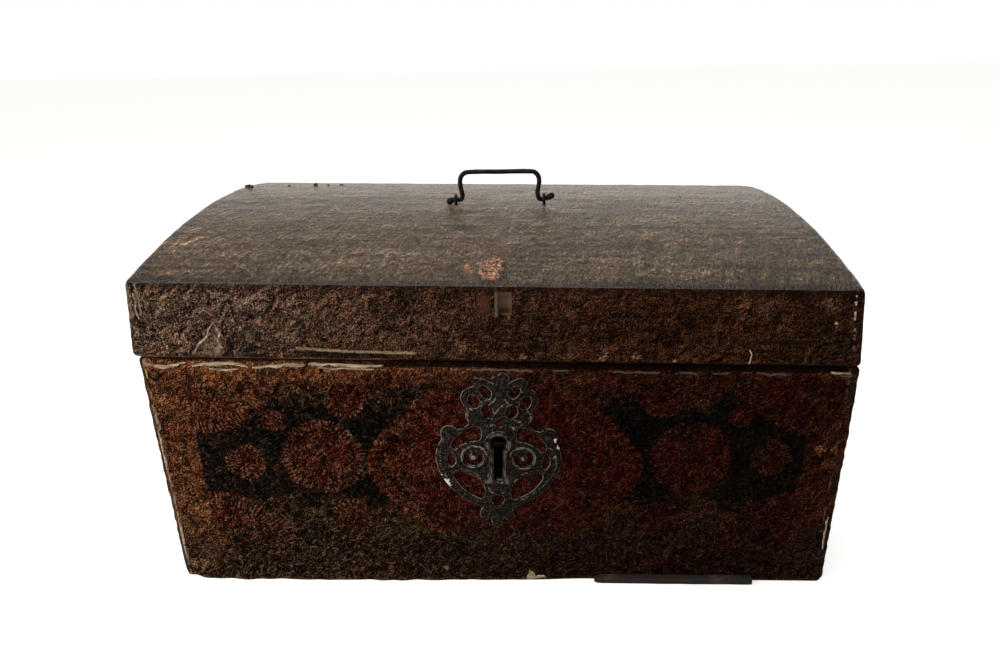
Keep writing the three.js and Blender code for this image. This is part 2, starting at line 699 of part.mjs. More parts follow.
function buildHinge(side, x) {
  const width = hingeWidth / 2;
  const { y, z } = hingeAxis;
  const middle = width - knuckleSide - knuckleGap;
  const root = barrel + rootGap;
  const bore = rodX(pinRadius + pinGap, x - width - 1, x + width + 1, y, z, 16);
  const web = (x0, x1, z0, z1) => block(x0, x1, lidBack + fit, leafFace, z0, z1);

  const lower = join(
    leaf(x, z - root, z - leafDown),
    web(x - width, x - width + knuckleSide, z - root - 1, z),
    web(x + width - knuckleSide, x + width, z - root - 1, z),
    rodX(barrel, x - width, x - width + knuckleSide, y, z, 16),
    rodX(barrel, x + width - knuckleSide, x + width, y, z, 16),
  );
  const lowerBores = bodyNailDrops.map((d) => nailBore(x, lidBack, z - d));
  add(`hinge_${side}_body_leaf`, cut(lower, [bore, ...lowerBores]), iron);

  const turned = THREE.MathUtils.degToRad(180 - openAngle);
  const heel = new THREE.BoxGeometry(2 * middle, heelThick, heelReach - pinRadius);
  heel.translate(0, 0, (heelReach + pinRadius) / 2);
  heel.rotateX(-turned);
  heel.translate(x, y, z);
  const upper = join(
    leaf(x, z + root, z + leafUp),
    web(x - middle, x + middle, z, z + root + 1),
    rodX(barrel, x - middle, x + middle, y, z, 16),
    solid(heel),
  );
  const upperBores = lidNailRises.map((r) => nailBore(x, lidBack, z + r));
  add(`hinge_${side}_lid_leaf`, cut(upper, [bore, ...upperBores]), iron);

  const tip = width + knuckleGap + 1.3;
  const pin = join(
    rodX(pinRadius, x - tip + 0.5, x + tip - 0.5, y, z, 16),
    rodX(pinRadius + pinHead, x - tip, x - width - knuckleGap, y, z, 12),
    rodX(pinRadius + pinHead, x + width + knuckleGap, x + tip, y, z, 12),
  );
  add(`hinge_${side}_pin`, pin, wroughtIron);

  bodyNailDrops.forEach((d, i) => nail(`hinge_${side}_body_nail_${i + 1}`, x, leafFace, z - d, false));
  lidNailRises.forEach((r, i) => nail(`hinge_${side}_lid_nail_${i + 1}`, x, leafFace, z + r, false));
}

// Bail handle in two split-pin eyes
const legX = [handleX - handleSpan / 2, handleX + handleSpan / 2];
const eyeX = [legX[0] - eyeOut, legX[1] + eyeOut];
const pivotZ = archZ(handleY) + eyeHeight;

function eyeBores() {
  return eyeX.map((x) => rodZ(eyeWire + 0.5, crown - 20, crown + 2, x, handleY));
}

function buildEye(name, x) {
  const ring = new THREE.TorusGeometry(eyeRing, eyeWire, 8, 18);
  ring.rotateY(Math.PI / 2);
  ring.translate(x, handleY, pivotZ);
  const inside = lidTop(x, handleY) - skin - staveThick - 2 * fit - lining - 0.1;
  const shank = rodZ(eyeWire, inside - 2 * eyeWire, pivotZ - eyeRing, x, handleY);
  const clinch = block(x - eyeWire, x + eyeWire, handleY - clinchReach, handleY + clinchReach,
    inside - 1.5 * eyeWire, inside);
  add(name, join(solid(ring), shank, clinch), wroughtIron);
}

function line(points) {
  return new THREE.LineCurve3(new THREE.Vector3(...points[0]), new THREE.Vector3(...points[1]));
}

function bend(from, corner, to) {
  return new THREE.QuadraticBezierCurve3(...[from, corner, to].map((p) => new THREE.Vector3(...p)));
}

function buildHandle() {
  const top = pivotZ + handleReach;
  const y = handleY;
  const shin = pivotZ + 5;
  const path = new THREE.CurvePath();
  const [left, right] = legX;
  const outLeft = left - handleEnd;
  const outRight = right + handleEnd;
  const inLeft = left + handleWaist;
  const inRight = right - handleWaist;
  path.add(line([[outLeft, y, pivotZ], [left - handleFoot, y, pivotZ]]));
  path.add(bend([left - handleFoot, y, pivotZ], [inLeft, y, pivotZ], [inLeft, y, shin]));
  path.add(line([[inLeft, y, shin], [left, y, top - handleBend]]));
  path.add(bend([left, y, top - handleBend], [left, y, top], [left + handleBend, y, top]));
  path.add(line([[left + handleBend, y, top], [right - handleBend, y, top]]));
  path.add(bend([right - handleBend, y, top], [right, y, top], [right, y, top - handleBend]));
  path.add(line([[right, y, top - handleBend], [inRight, y, shin]]));
  path.add(bend([inRight, y, shin], [inRight, y, pivotZ], [right + handleFoot, y, pivotZ]));
  path.add(line([[right + handleFoot, y, pivotZ], [outRight, y, pivotZ]]));
  const ring = new THREE.Shape();
  ring.absarc(0, 0, handleRod, 0, Math.PI * 2, false);
  const rod = new THREE.ExtrudeGeometry(ring, { steps: 60, extrudePath: path, curveSegments: 5 });
  const knobs = [outLeft, outRight].map((x) => {
    const knob = new THREE.SphereGeometry(handleKnob, 12, 8);
    knob.translate(x, y, pivotZ);
    return solid(knob);
  });
  add('bail_handle', join(solid(rod), ...knobs), wroughtIron);
  buildEye('handle_eye_left', eyeX[0]);
  buildEye('handle_eye_right', eyeX[1]);
}

buildBody();
buildBodyLeather();
buildLidWood();
buildLidLeather();
buildLockPlate();
buildLock();
buildCatch();
buildHinge('left', -hingeX);
buildHinge('right', hingeX);
buildHandle();

export default coffer;
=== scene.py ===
# Looks of a small leather-covered coffer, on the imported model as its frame. Sizes here are in mm.
import functools
import itertools
import json
import math
import bpy
import bmesh
import numpy as np
from mathutils import Matrix, Vector, noise
from mathutils.geometry import delaunay_2d_cdt


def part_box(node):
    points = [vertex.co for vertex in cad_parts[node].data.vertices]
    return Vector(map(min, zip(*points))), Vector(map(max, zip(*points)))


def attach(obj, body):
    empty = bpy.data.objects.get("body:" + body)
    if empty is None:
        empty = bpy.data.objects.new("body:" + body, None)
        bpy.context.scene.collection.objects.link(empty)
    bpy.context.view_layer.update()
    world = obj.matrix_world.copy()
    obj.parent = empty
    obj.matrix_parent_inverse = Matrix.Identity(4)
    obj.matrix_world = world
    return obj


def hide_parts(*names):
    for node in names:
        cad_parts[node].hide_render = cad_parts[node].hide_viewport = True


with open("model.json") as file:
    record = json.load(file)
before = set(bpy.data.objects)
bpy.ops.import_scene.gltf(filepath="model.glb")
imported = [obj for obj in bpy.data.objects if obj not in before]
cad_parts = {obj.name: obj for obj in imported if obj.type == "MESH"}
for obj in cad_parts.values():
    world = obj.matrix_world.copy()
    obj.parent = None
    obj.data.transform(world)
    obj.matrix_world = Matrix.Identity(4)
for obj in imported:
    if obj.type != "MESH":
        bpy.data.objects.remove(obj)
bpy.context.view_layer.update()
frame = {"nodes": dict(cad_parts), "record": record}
MM = 0.001

# Sizes of the case, as the model has them
HALF = 240.0
LID_FRONT, LID_BACK = -159.0, 149.0
RIM, LID_WALL, ARCH, POWER = 180.8, 53.9, 19.0, 2.1
LEAN = math.tan(math.radians(6.15))
FALL = 4.3
BODY_LEFT, BODY_RIGHT, BODY_FRONT = -238.1, 240.4, -155.0
FIT, LEATHER, HIDE = 0.15, 1.4, 1.3
LID_ROUND, BODY_ROUND = 4.2, 3.8
LOCK_X, KEY_Z, PLATE_TURN = 4.0, 119.0, math.radians(2)
KEY_ROUND, KEY_SLOT, KEY_DROP = 5.9, 3.3, 29.5
PLATE_FACE = BODY_FRONT - FIT - LEATHER
HANDLE_X, HANDLE_Y, PIVOT_Z, EYE_REACH = 2.4, -17.0, 258.21, 35.0
HANDLE_FEET = (-33, 38)
HINGES, HINGE_SPREAD = (-150, 150), 20
NOTCH = (5.9, 14.7, 215.2, 230.8)
# edges of the torn place at the left of the lid's front
TEAR_LEFT = [(-176.0, 214.5), (-178.1, 212.6), (-183.5, 208.4), (-196.0, 190.5), (-197.5, 187.5)]
TEAR_RIGHT = [
    (-176.0, 214.5), (-180.3, 211.2), (-176.7, 205), (-178.3, 203.4), (-176.7, 197), (-180.5, 190.5),
    (-181, 187.5),
]
# the base of natural logarithms and the most that the grain's tone and painted light may brighten a colour
EULER, BRIGHTEST = 2.718, 4.2


# Numbers in a material, with arithmetic that adds nodes
class Term:
    def __init__(self, graph, socket):
        self.graph = graph
        self.socket = socket

    def __add__(self, other):
        return self.graph.math("ADD", self, other)

    __radd__ = __add__

    def __sub__(self, other):
        return self.graph.math("SUBTRACT", self, other)

    def __rsub__(self, other):
        return self.graph.math("SUBTRACT", other, self)

    def __mul__(self, other):
        return self.graph.math("MULTIPLY", self, other)

    def __truediv__(self, other):
        return self.graph.math("DIVIDE", self, other)

    def __abs__(self):
        return self.graph.math("ABSOLUTE", self)


class Graph:
    def __init__(self, name, world=False):
        self.owner = (bpy.data.worlds if world else bpy.data.materials).new(name)
        self.owner.use_nodes = True
        self.tree = self.owner.node_tree
        self.tree.nodes.clear()
        output = self.tree.nodes.new("ShaderNodeOutputWorld" if world else "ShaderNodeOutputMaterial")
        self.output = output.inputs["Surface"]
        self.colour = None
        if not world:
            self.place = self.tree.nodes.new("ShaderNodeTexCoord").outputs["Object"]
            # in mm, so that sizes in a material read as the sizes above do
            self.x, self.y, self.z = (axis * 1000 for axis in self.split(self.place))

    def put(self, socket, value):
        if isinstance(value, Term):
            value = value.socket
        if isinstance(value, bpy.types.NodeSocket):
            self.tree.links.new(value, socket)
        else:
            socket.default_value = (*value, 1) if socket.type == "RGBA" else value

    def node(self, kind, inputs=(), **settings):
        node = self.tree.nodes.new(kind)
        for key, value in settings.items():
            setattr(node, key, value)
        for key, value in dict(inputs).items():
            self.put(node.inputs[key], value)
        return node

    def split(self, vector):
        return [Term(self, socket) for socket in self.node("ShaderNodeSeparateXYZ", {0: vector}).outputs]

    def math(self, kind, a, b=0.0, clamp=False):
        node = self.node("ShaderNodeMath", {0: a, 1: b}, operation=kind, use_clamp=clamp)
        return Term(self, node.outputs[0])

    def greatest(self, *terms):
        return functools.reduce(lambda a, b: self.math("MAXIMUM", a, b), terms)

    def least(self, *terms):
        return functools.reduce(lambda a, b: self.math("MINIMUM", a, b), terms)

    def smooth(self, value, low, high):
        # 0 below low and 1 above high, or the other way round where low is the greater
        inputs = {
            "Value": value, "From Min": min(low, high), "From Max": max(low, high),
            "To Min": float(low > high), "To Max": float(low < high),
        }
        node = self.node("ShaderNodeMapRange", inputs, interpolation_type="SMOOTHSTEP")
        return Term(self, node.outputs[0])

    def band(self, value, wide, narrow):
        # 1 near 0 and 0 far from it, on both sides
        return self.smooth(abs(value), wide, narrow)

    def noise(self, size, detail=3, rough=0.55, warp=0.0, shift=0.0, nudge=(0, 0, 0)):
        # size is the size of a patch in mm, or one along each axis; the result is about 0.5 on average
        sizes = size if isinstance(size, tuple) else (size, size, size)
        at = self.node("ShaderNodeMapping", {
            "Vector": self.place, "Scale": [1000 / s for s in sizes],
            "Location": (shift + nudge[0], shift * 0.7 + nudge[1], shift * 1.3 + nudge[2]),
        })
        inputs = {
            "Vector": at.outputs[0], "Scale": 1.0, "Detail": detail, "Roughness": rough, "Distortion": warp,
        }
        return Term(self, self.node("ShaderNodeTexNoise", inputs).outputs["Fac"])

    def reach(self, a, b):
        # length of a line from its parts along two axes
        return self.math("SQRT", a * a + b * b)

    def distance(self, cx, cz, wide=1.0, tall=1.0):
        # in the front's plane, from a point, with each axis divided by a number
        return self.reach((self.x - cx) / wide, (self.z - cz) / tall)

    def level(self):
        # height over the floor with the rim's fall from left to right taken out
        return self.z + self.x * (FALL / HALF)

    def ragged(self):
        # added to a distance, a share of this makes an edge ragged
        return (self.noise(3.6, 3, 0.7, shift=4.4) - 0.5) * 12

    def blend(self, share, a, b, kind="MIX"):
        inputs = {0: share, 6: a, 7: b}
        return self.node("ShaderNodeMix", inputs, data_type="RGBA", blend_type=kind).outputs[2]

    def between(self, value, low, high, a, b):
        return self.blend(self.smooth(value, low, high), a, b)

    def lay(self, share, shade, kind="MIX"):
        # one more layer over the colour so far
        self.colour = self.blend(share, self.colour, shade, kind)

    def stain(self, value, low, high, share, shade):
        # a layer where a value has passed from low to high
        self.lay(self.smooth(value, low, high) * share, shade)

    def surface(self, rough, height, strength, depth, **constants):
        # depth of the bumps in mm
        shader = self.node("ShaderNodeBsdfPrincipled", {"Base Color": self.colour, "Roughness": rough})
        for key, value in constants.items():
            shader.inputs[key.replace("_", " ")].default_value = value
        bump = self.node("ShaderNodeBump", {"Height": height, "Strength": strength, "Distance": depth * MM})
        self.put(shader.inputs["Normal"], bump.outputs[0])
        self.put(self.output, shader.outputs[0])
        return self.owner


# Meshes
def new_piece(name, data):
    piece = bpy.data.objects.new(name, data)
    bpy.context.scene.collection.objects.link(piece)
    return piece


def shade_smooth(mesh):
    mesh.polygons.foreach_set("use_smooth", [True] * len(mesh.polygons))


def mesh_piece(name, points, faces, material):
    mesh = bpy.data.meshes.new(name)
    mesh.from_pydata([tuple(c * MM for c in p) for p in points], [], faces)
    mesh.update()
    mesh.materials.append(material)
    shade_smooth(mesh)
    return new_piece(name, mesh)


def apply_modifiers(piece):
    evaluated = piece.evaluated_get(bpy.context.evaluated_depsgraph_get())
    mesh = bpy.data.meshes.new_from_object(evaluated)
    piece.modifiers.clear()
    piece.data = mesh


def thicken(piece, depth, offset=-1.0):
    modifier = piece.modifiers.new("thickness", "SOLIDIFY")
    modifier.thickness = depth * MM
    modifier.offset = offset
    modifier.use_even_offset = False
    apply_modifiers(piece)


def stations(low, high, radius, step, extra=()):
    # places along one side of a rounded box, close together in the rounding; the extra ones are kept
    turns = [radius * (1 - math.tan(math.radians(a))) for a in (45, 30, 15, 0)]
    inner = np.linspace(low + radius, high - radius, max(2, round((high - low - 2 * radius) / step) + 1))
    places = sorted({*[low + t for t in turns], *inner, *[high - t for t in turns]})
    kept = [p for p in places if all(abs(p - e) > step * 0.35 for e in extra)]
    return np.array(sorted([*kept, *extra]))


def rounded_shell(axes, radius, dropped):
    # a box with rounded edges, from stations along each axis, without the cells that dropped names
    low, high = (np.array([line[k] for line in axes]) for k in (0, -1))
    index, faces = {}, []
    for axis in range(3):
        u, v = (axis + 1) % 3, (axis + 2) % 3
        cells = itertools.product((0, -1), range(len(axes[u]) - 1), range(len(axes[v]) - 1))
        for end, i, j in cells:
            middle = [0.0, 0.0, 0.0]
            middle[axis] = axes[axis][end]
            middle[u] = (axes[u][i] + axes[u][i + 1]) / 2
            middle[v] = (axes[v][j] + axes[v][j + 1]) / 2
            if dropped(axis, end, middle):
                continue
            corners = []
            for a, b in ((0, 0), (1, 0), (1, 1), (0, 1)):
                key = [0, 0, 0]
                key[axis], key[u], key[v] = end % len(axes[axis]), i + a, j + b
                corners.append(index.setdefault(tuple(key), len(index)))
            faces.append(corners if end == -1 else corners[::-1])
    cloud = np.array([[line[k] for line, k in zip(axes, key)] for key in index])
    core = np.clip(cloud, low + radius, high - radius)
    out = cloud - core
    length = np.linalg.norm(out, axis=1, keepdims=True)
    return core + out * radius / np.maximum(length, 1e-9), faces


def noise_at(*place):
    return noise.noise(Vector(place))


def ripples(points, size, shift=0.0):
    # smooth noise at each point, with waves of a size along each axis
    return np.array([noise_at(x / size[0] + shift, y / size[1], z / size[2]) for x, y, z in points])


def smoothstep(x, a, b):
    t = np.clip((x - a) / (b - a), 0, 1)
    return t * t * (3 - 2 * t)


def hump(x, middle, width):
    return np.exp(-((x - middle) / width) ** 2)


def dome(x):
    # a quarter circle up from 0 to 1
    return np.sqrt(np.maximum(0, 1 - (1 - np.minimum(x, 1)) ** 2))


def normals_of(points, faces):
    mesh = bpy.data.meshes.new("scratch")
    mesh.from_pydata([tuple(p) for p in points], [], faces)
    mesh.update()
    out = np.zeros(len(points) * 3, np.float32)
    mesh.vertices.foreach_get("normal", out)
    bpy.data.meshes.remove(mesh)
    return out.reshape(-1, 3)


def run_along(line):
    # distance from the start of a line to each of its points
    return np.concatenate([[0], np.cumsum(np.linalg.norm(np.diff(line, axis=0), axis=1))])


# Shape of the case
def lid_rise(y):
    middle, depth = (LID_FRONT + LID_BACK) / 2, LID_BACK - LID_FRONT
    return ARCH * (1 - np.minimum(1, np.abs(2 * (y - middle) / depth)) ** POWER)


def lid_place(points):
    out = points.copy()
    low = RIM + FIT
    out[:, 2] = low + (points[:, 2] - low) * (1 + lid_rise(points[:, 1]) / LID_WALL)
    out[:, 0] *= 1 - (out[:, 2] - RIM) * LEAN / HALF
    out[:, 2] -= FALL * out[:, 0] / HALF
    return out


def lid_top(x, y):
    return RIM + LID_WALL + float(lid_rise(np.array(y))) - FALL * x / HALF


def body_place(points):
    foot = 9
    out = points.copy()
    share = np.clip((points[:, 2] - foot) / (RIM - foot), 0, 1)
    out[:, 2] -= FALL * points[:, 0] / HALF * share
    return out


# Camera at the photograph's angle: turns, place in metres, and focal length in pixels of the frame
PITCH, YAW, ROLL = (math.radians(a) for a in (22.39, -2.58, -1.21))
CAMERA_PLACE = (0.0264, -0.5957, 0.3884)
FOCAL, FRAME_WIDTH, SENSOR = 736.1, 1000, 36


def make_camera():
    forward = Vector((math.sin(YAW) * math.cos(PITCH), math.cos(YAW) * math.cos(PITCH), -math.sin(PITCH)))
    level = forward.cross(Vector((0, 0, 1))).normalized()
    upright = level.cross(forward)
    right = level * math.cos(ROLL) + upright * math.sin(ROLL)
    up = upright * math.cos(ROLL) - level * math.sin(ROLL)
    data = bpy.data.cameras.new("camera")
    data.sensor_width = SENSOR
    data.lens = FOCAL * SENSOR / FRAME_WIDTH
    data.clip_start, data.clip_end = 0.01, 50
    camera = new_piece("camera", data)
    camera.rotation_mode = "QUATERNION"
    camera.rotation_quaternion = Matrix((right, up, -forward)).transposed().to_quaternion()
    camera.location = CAMERA_PLACE
    bpy.context.scene.camera = camera


# Light and floor
LAMPS = (
    # name, place and target in metres, size, power, colour
    ("soft_left", (-0.92, -0.85, 0.72), (-0.05, -0.1, 0.14), (0.5, 0.5), 9.5, (1.0, 0.97, 0.93)),
    ("soft_top", (0.15, 0.0, 1.6), (0, 0, 0.2), (1.2, 0.6), 9, (1.0, 0.97, 0.92)),
)


def rays(g):
    # whether a ray comes straight from the camera or through glass, and whether it is a reflection
    path = g.node("ShaderNodeLightPath").outputs
    kinds = ("Camera", "Transmission", "Glossy")
    camera, glass, gloss = (Term(g, path[f"Is {kind} Ray"]) for kind in kinds)
    return g.greatest(camera, glass), gloss


def make_light():
    g = Graph("studio", world=True)
    seen, gloss = rays(g)
    side, back, up = g.split(g.node("ShaderNodeTexCoord").outputs["Generated"])
    # brightest low behind the object and on the left, as in the photograph
    level = g.smooth(back - side * 0.8, -0.8, 0.9) * 0.55 + 0.2
    low = g.smooth(up, 0.42, 0.0) * g.smooth(back, 0.1, 0.6)
    level = level * (1 - gloss) + (low * 1.78 + 0.08) * gloss
    lit = g.node("ShaderNodeBackground", {"Color": (1.0, 0.95, 0.89), "Strength": level})
    white = g.node("ShaderNodeBackground", {"Color": (1, 1, 1), "Strength": 1.0})
    mixed = g.node("ShaderNodeMixShader", {0: seen, 1: lit.outputs[0], 2: white.outputs[0]})
    g.put(g.output, mixed.outputs[0])
    bpy.context.scene.world = g.owner
    for name, place, target, size, power, colour in LAMPS:
        data = bpy.data.lights.new(name, "AREA")
        data.shape = "RECTANGLE"
        data.size, data.size_y = size
        data.energy = power
        data.color = colour
        piece = new_piece(name, data)
        piece.location = place
        piece.rotation_mode = "QUATERNION"
        piece.rotation_quaternion = (Vector(target) - Vector(place)).to_track_quat("-Z", "Y")


def make_floor():
    g = Graph("floor")
    seen, _ = rays(g)
    diffuse = g.node("ShaderNodeBsdfDiffuse", {"Color": (0.8, 0.8, 0.8)})
    glow = g.node("ShaderNodeEmission", {"Color": (1, 1, 1), "Strength": 0.62})
    both = g.node("ShaderNodeAddShader", {0: diffuse.outputs[0], 1: glow.outputs[0]})
    mixed = g.node("ShaderNodeMixShader", {0: seen, 1: diffuse.outputs[0], 2: both.outputs[0]})
    g.put(g.output, mixed.outputs[0])
    half = 6000
    corners = [(-half, -half, 0), (half, -half, 0), (half, half, 0), (-half, half, 0)]
    floor = mesh_piece("floor", corners, [(0, 1, 2, 3)], g.owner)


# Materials
def weathered(
    g, contrast, shift, points, scratches_and_highlights, share, soft, creased,
    size=(1.3, 1.3, 1.3), away=(0.3, 0, -0.3), tint=1.0,
):
    # worn grain: pits and rises in painted light and shade, as if lit from one side, uneven patches, rubbed
    # points that are partly painted highlights, and fine scratches
    def grain(times, detail, rough=0.55, warp=0.0, further=0, nudge=(0, 0, 0)):
        return g.noise(tuple(c * times for c in size), detail, rough, warp, shift + further, nudge)

    fine = grain(1, 2, 0.8, 0.5)
    # painted light and shade: the grain against a copy moved towards the light
    lit = grain(1, 2, 0.8, 0.5, nudge=away) - fine
    mottle = grain(5, 3, 0.62, 0.6, 3) - 0.5
    crease = grain(7, 3, 0.6, 1.2, 21)
    # the same painted light and shade on broader creases
    crease_painted_light = grain(7, 3, 0.6, 1.2, 21, [c * 0.45 for c in away]) - crease
    tone = grain(9, 2, 0.6, 0.8, 6)
    power = ((fine - 0.5) * 0.55 + lit * 0.85 + crease_painted_light * creased + mottle * soft - 0.026) * contrast
    # the grain's tone with the painted light and shade, as a factor on the colour
    tone_and_painted_light = g.math("POWER", EULER, power)
    g.lay(tint, g.between(tone, 0.4, 0.6, (1.08, 0.95, 0.89), (0.94, 1.04, 0.98)), "MULTIPLY")
    g.lay(1.0, g.least(tone_and_painted_light, BRIGHTEST), "MULTIPLY")
    # a painted highlight where that factor passes the brightest
    g.lay(g.math("MULTIPLY", tone_and_painted_light - BRIGHTEST, 0.12, clamp=True) * share, scratches_and_highlights, "ADD")
    for scale, wide, further in ((2.4, 0.03, 9), (4.0, 0.016, 17), (8.0, 0.008, 29)):
        hair = g.band(grain(scale, 1, 0.5, 0.9, further) - 0.5, wide, wide * 0.3)
        hair = hair * g.smooth(grain(3, 1, further=further + 2), 0.545, 0.6)
        g.lay(hair * (share * 1.5), scratches_and_highlights, "ADD")
    # rubbed points, partly wear and partly painted highlights where the grain faces the light
    worn_and_highlit = g.smooth(fine + lit * 0.6 + mottle * 0.25, 0.7, 0.78)
    g.lay(worn_and_highlit * share, points, "ADD")
    return fine


def line_in_front(g, points):
    # distance in the front's plane from a line through points
    parts = []
    for (x0, z0), (x1, z1) in zip(points, points[1:]):
        dx, dz = x1 - x0, z1 - z0
        n = dx * dx + dz * dz
        t = g.math("ADD", (g.x - x0) * (dx / n) + (g.z - z0) * (dz / n), 0.0, clamp=True)
        parts.append(g.reach(g.x - x0 - t * dx, g.z - z0 - t * dz))
    return g.least(*parts)


def lay_spots(g, spots, ragged, where, share):
    # round patches on the front; each is (x, z, radius, height over width, colour)
    for x, z, radius, tall, shade in spots:
        spot = g.smooth(g.distance(x, z, 1, tall) + ragged, radius + 0.6, radius - 0.6)
        g.lay(spot * where * share, shade)


def lid_patches(g):
    return g.noise(95, 3, 0.6, 0.5), g.noise((55, 34, 20), 5, 0.62, 0.6, shift=3.1), g.ragged()


def lid_top_leather():
    # dusty mid brown, with long shallow scores from end to end
    g = Graph("lid_top_leather")
    big, patch, ragged = lid_patches(g)
    streak = g.noise((40, 5.5, 4.0), 4, 0.7, 0.3, shift=1.7)
    long_streak = g.noise((120, 9, 8.0), 4, 0.7, 0.4, shift=7.7)
    g.colour = g.between(patch, 0.34, 0.66, (0.08, 0.053, 0.031), (0.12, 0.086, 0.056))
    g.stain(big, 0.42, 0.6, 0.6, (0.1, 0.078, 0.047))
    g.stain(g.noise(60, 4, 0.6, shift=12), 0.5, 0.64, 0.5, (0.15, 0.093, 0.067))
    g.stain(streak, 0.54, 0.7, 0.4, (0.17, 0.145, 0.118))
    g.stain(streak, 0.47, 0.33, 0.8, (0.038, 0.025, 0.015))
    g.stain(long_streak, 0.49, 0.39, 0.75, (0.04, 0.027, 0.017))
    g.stain(long_streak, 0.54, 0.64, 0.45, (0.18, 0.152, 0.12))
    g.stain(g.x, 60, 210, g.smooth(g.y, -50, -130) * 0.45, (0.045, 0.028, 0.016))
    # darker along the front edge and at the ends
    at_edge = g.smooth(g.y + (patch - 0.5) * 18, -142, -159)
    g.lay(g.greatest(at_edge, g.smooth(abs(g.x), 215, 234) * 0.7) * 0.55, (0.034, 0.02, 0.011))
    # the crusted spot near the front, a small one beside it, and a painted shadow below both
    around = g.reach(g.x - 0.5, (g.y + 138.5) * 0.56)
    beside = g.reach(g.x + 14, (g.y + 139) * 0.7)
    below = g.reach(g.x - 1.6, (g.y + 140.5) * 0.56)
    small = g.smooth(beside + ragged * 0.6, 4.2, 2.6)
    spot = g.greatest(g.smooth(around + ragged * 0.6, 9.2, 7.4), small * 0.8)
    # painted shadow of the crusted spots, below and beside them
    g.stain(below + ragged * 0.8, 10.8, 8.6, 0.7, (0.02, 0.01, 0.007))
    scabs = g.noise((3.6, 6, 4), 3, 0.7, shift=15)
    g.lay(spot * 0.95, g.between(scabs, 0.42, 0.58, (0.09, 0.035, 0.022), (0.4, 0.235, 0.165)))
    for foot in HANDLE_FEET:
        near = g.reach((g.x - foot) * 0.7, (g.y + 27) * 0.8)
        g.stain(near + ragged, 13, 2, 0.45, (0.2, 0.1, 0.078))
    fine = weathered(
        g, 9.0, 5.2, (0.19, 0.165, 0.138), (0.11, 0.094, 0.076), 0.55, 0.13, 0.42,
        size=(1.9, 3.8, 2.6), away=(0.12, -0.34, 0), tint=0.5,
    )
    # painted shade in the holes where the eyes' legs go into the lid
    for foot in HANDLE_FEET:
        hole = g.reach(g.x - foot, g.y - HANDLE_Y)
        g.stain(hole + ragged * 0.2, 4.2, 2.4, 0.85, (0.01, 0.007, 0.005))
    g.lay(g.smooth(g.y, 20, -90), (1.0, 0.92, 0.82), "MULTIPLY")
    g.stain(g.y + ragged * 0.5, -151.5, -157.5, 0.75, (0.03, 0.019, 0.013))
    height = fine * 1.2 + streak * 1.8 + long_streak * 0.8 + patch * 0.8
    rough = 0.27 + patch * 0.12 + (fine - 0.5) * 0.5
    return g.surface(rough, height, 1.0, 1.1, Specular_IOR_Level=0.62)


LID_SPOTS = (
    (160, 222, 3.0, 4.0, (0.075, 0.038, 0.02)), (-122, 216.7, 2.6, 1.0, (0.13, 0.08, 0.058)),
    (-205, 200, 5.5, 1.0, (0.12, 0.06, 0.042)), (-222, 192, 8.0, 0.8, (0.095, 0.05, 0.034)),
    (95, 186, 3.0, 0.8, (0.1, 0.06, 0.034)), (20, 186.5, 3.2, 0.7, (0.09, 0.05, 0.03)),
    (73.5, 187, 2.4, 2.0, (0.14, 0.09, 0.055)), (175, 217, 6, 1.0, (0.05, 0.028, 0.017)),
    (-60, 221, 7, 0.6, (0.045, 0.017, 0.013)), (214, 222, 7, 0.9, (0.055, 0.032, 0.018)),
    (-150, 225, 9, 0.6, (0.08, 0.052, 0.04)),
)
LID_FLECKS = ((218.6, 208.8, 0.9, 1.0, (0.62, 0.48, 0.3)), (119.5, 182.6, 1.0, 1.0, (0.4, 0.29, 0.18)))
HEM_LINE = ((-128, 192.6), (-112, 191.3), (-92, 190), (-68, 189.2), (-50, 188.6))
CHALK_LINE = ((228.4, 227), (230, 209.5), (232.6, 190))
SCRATCH_LINE = ((167.0, 190), (168.6, 187), (168, 184.5), (167.4, 180.6))


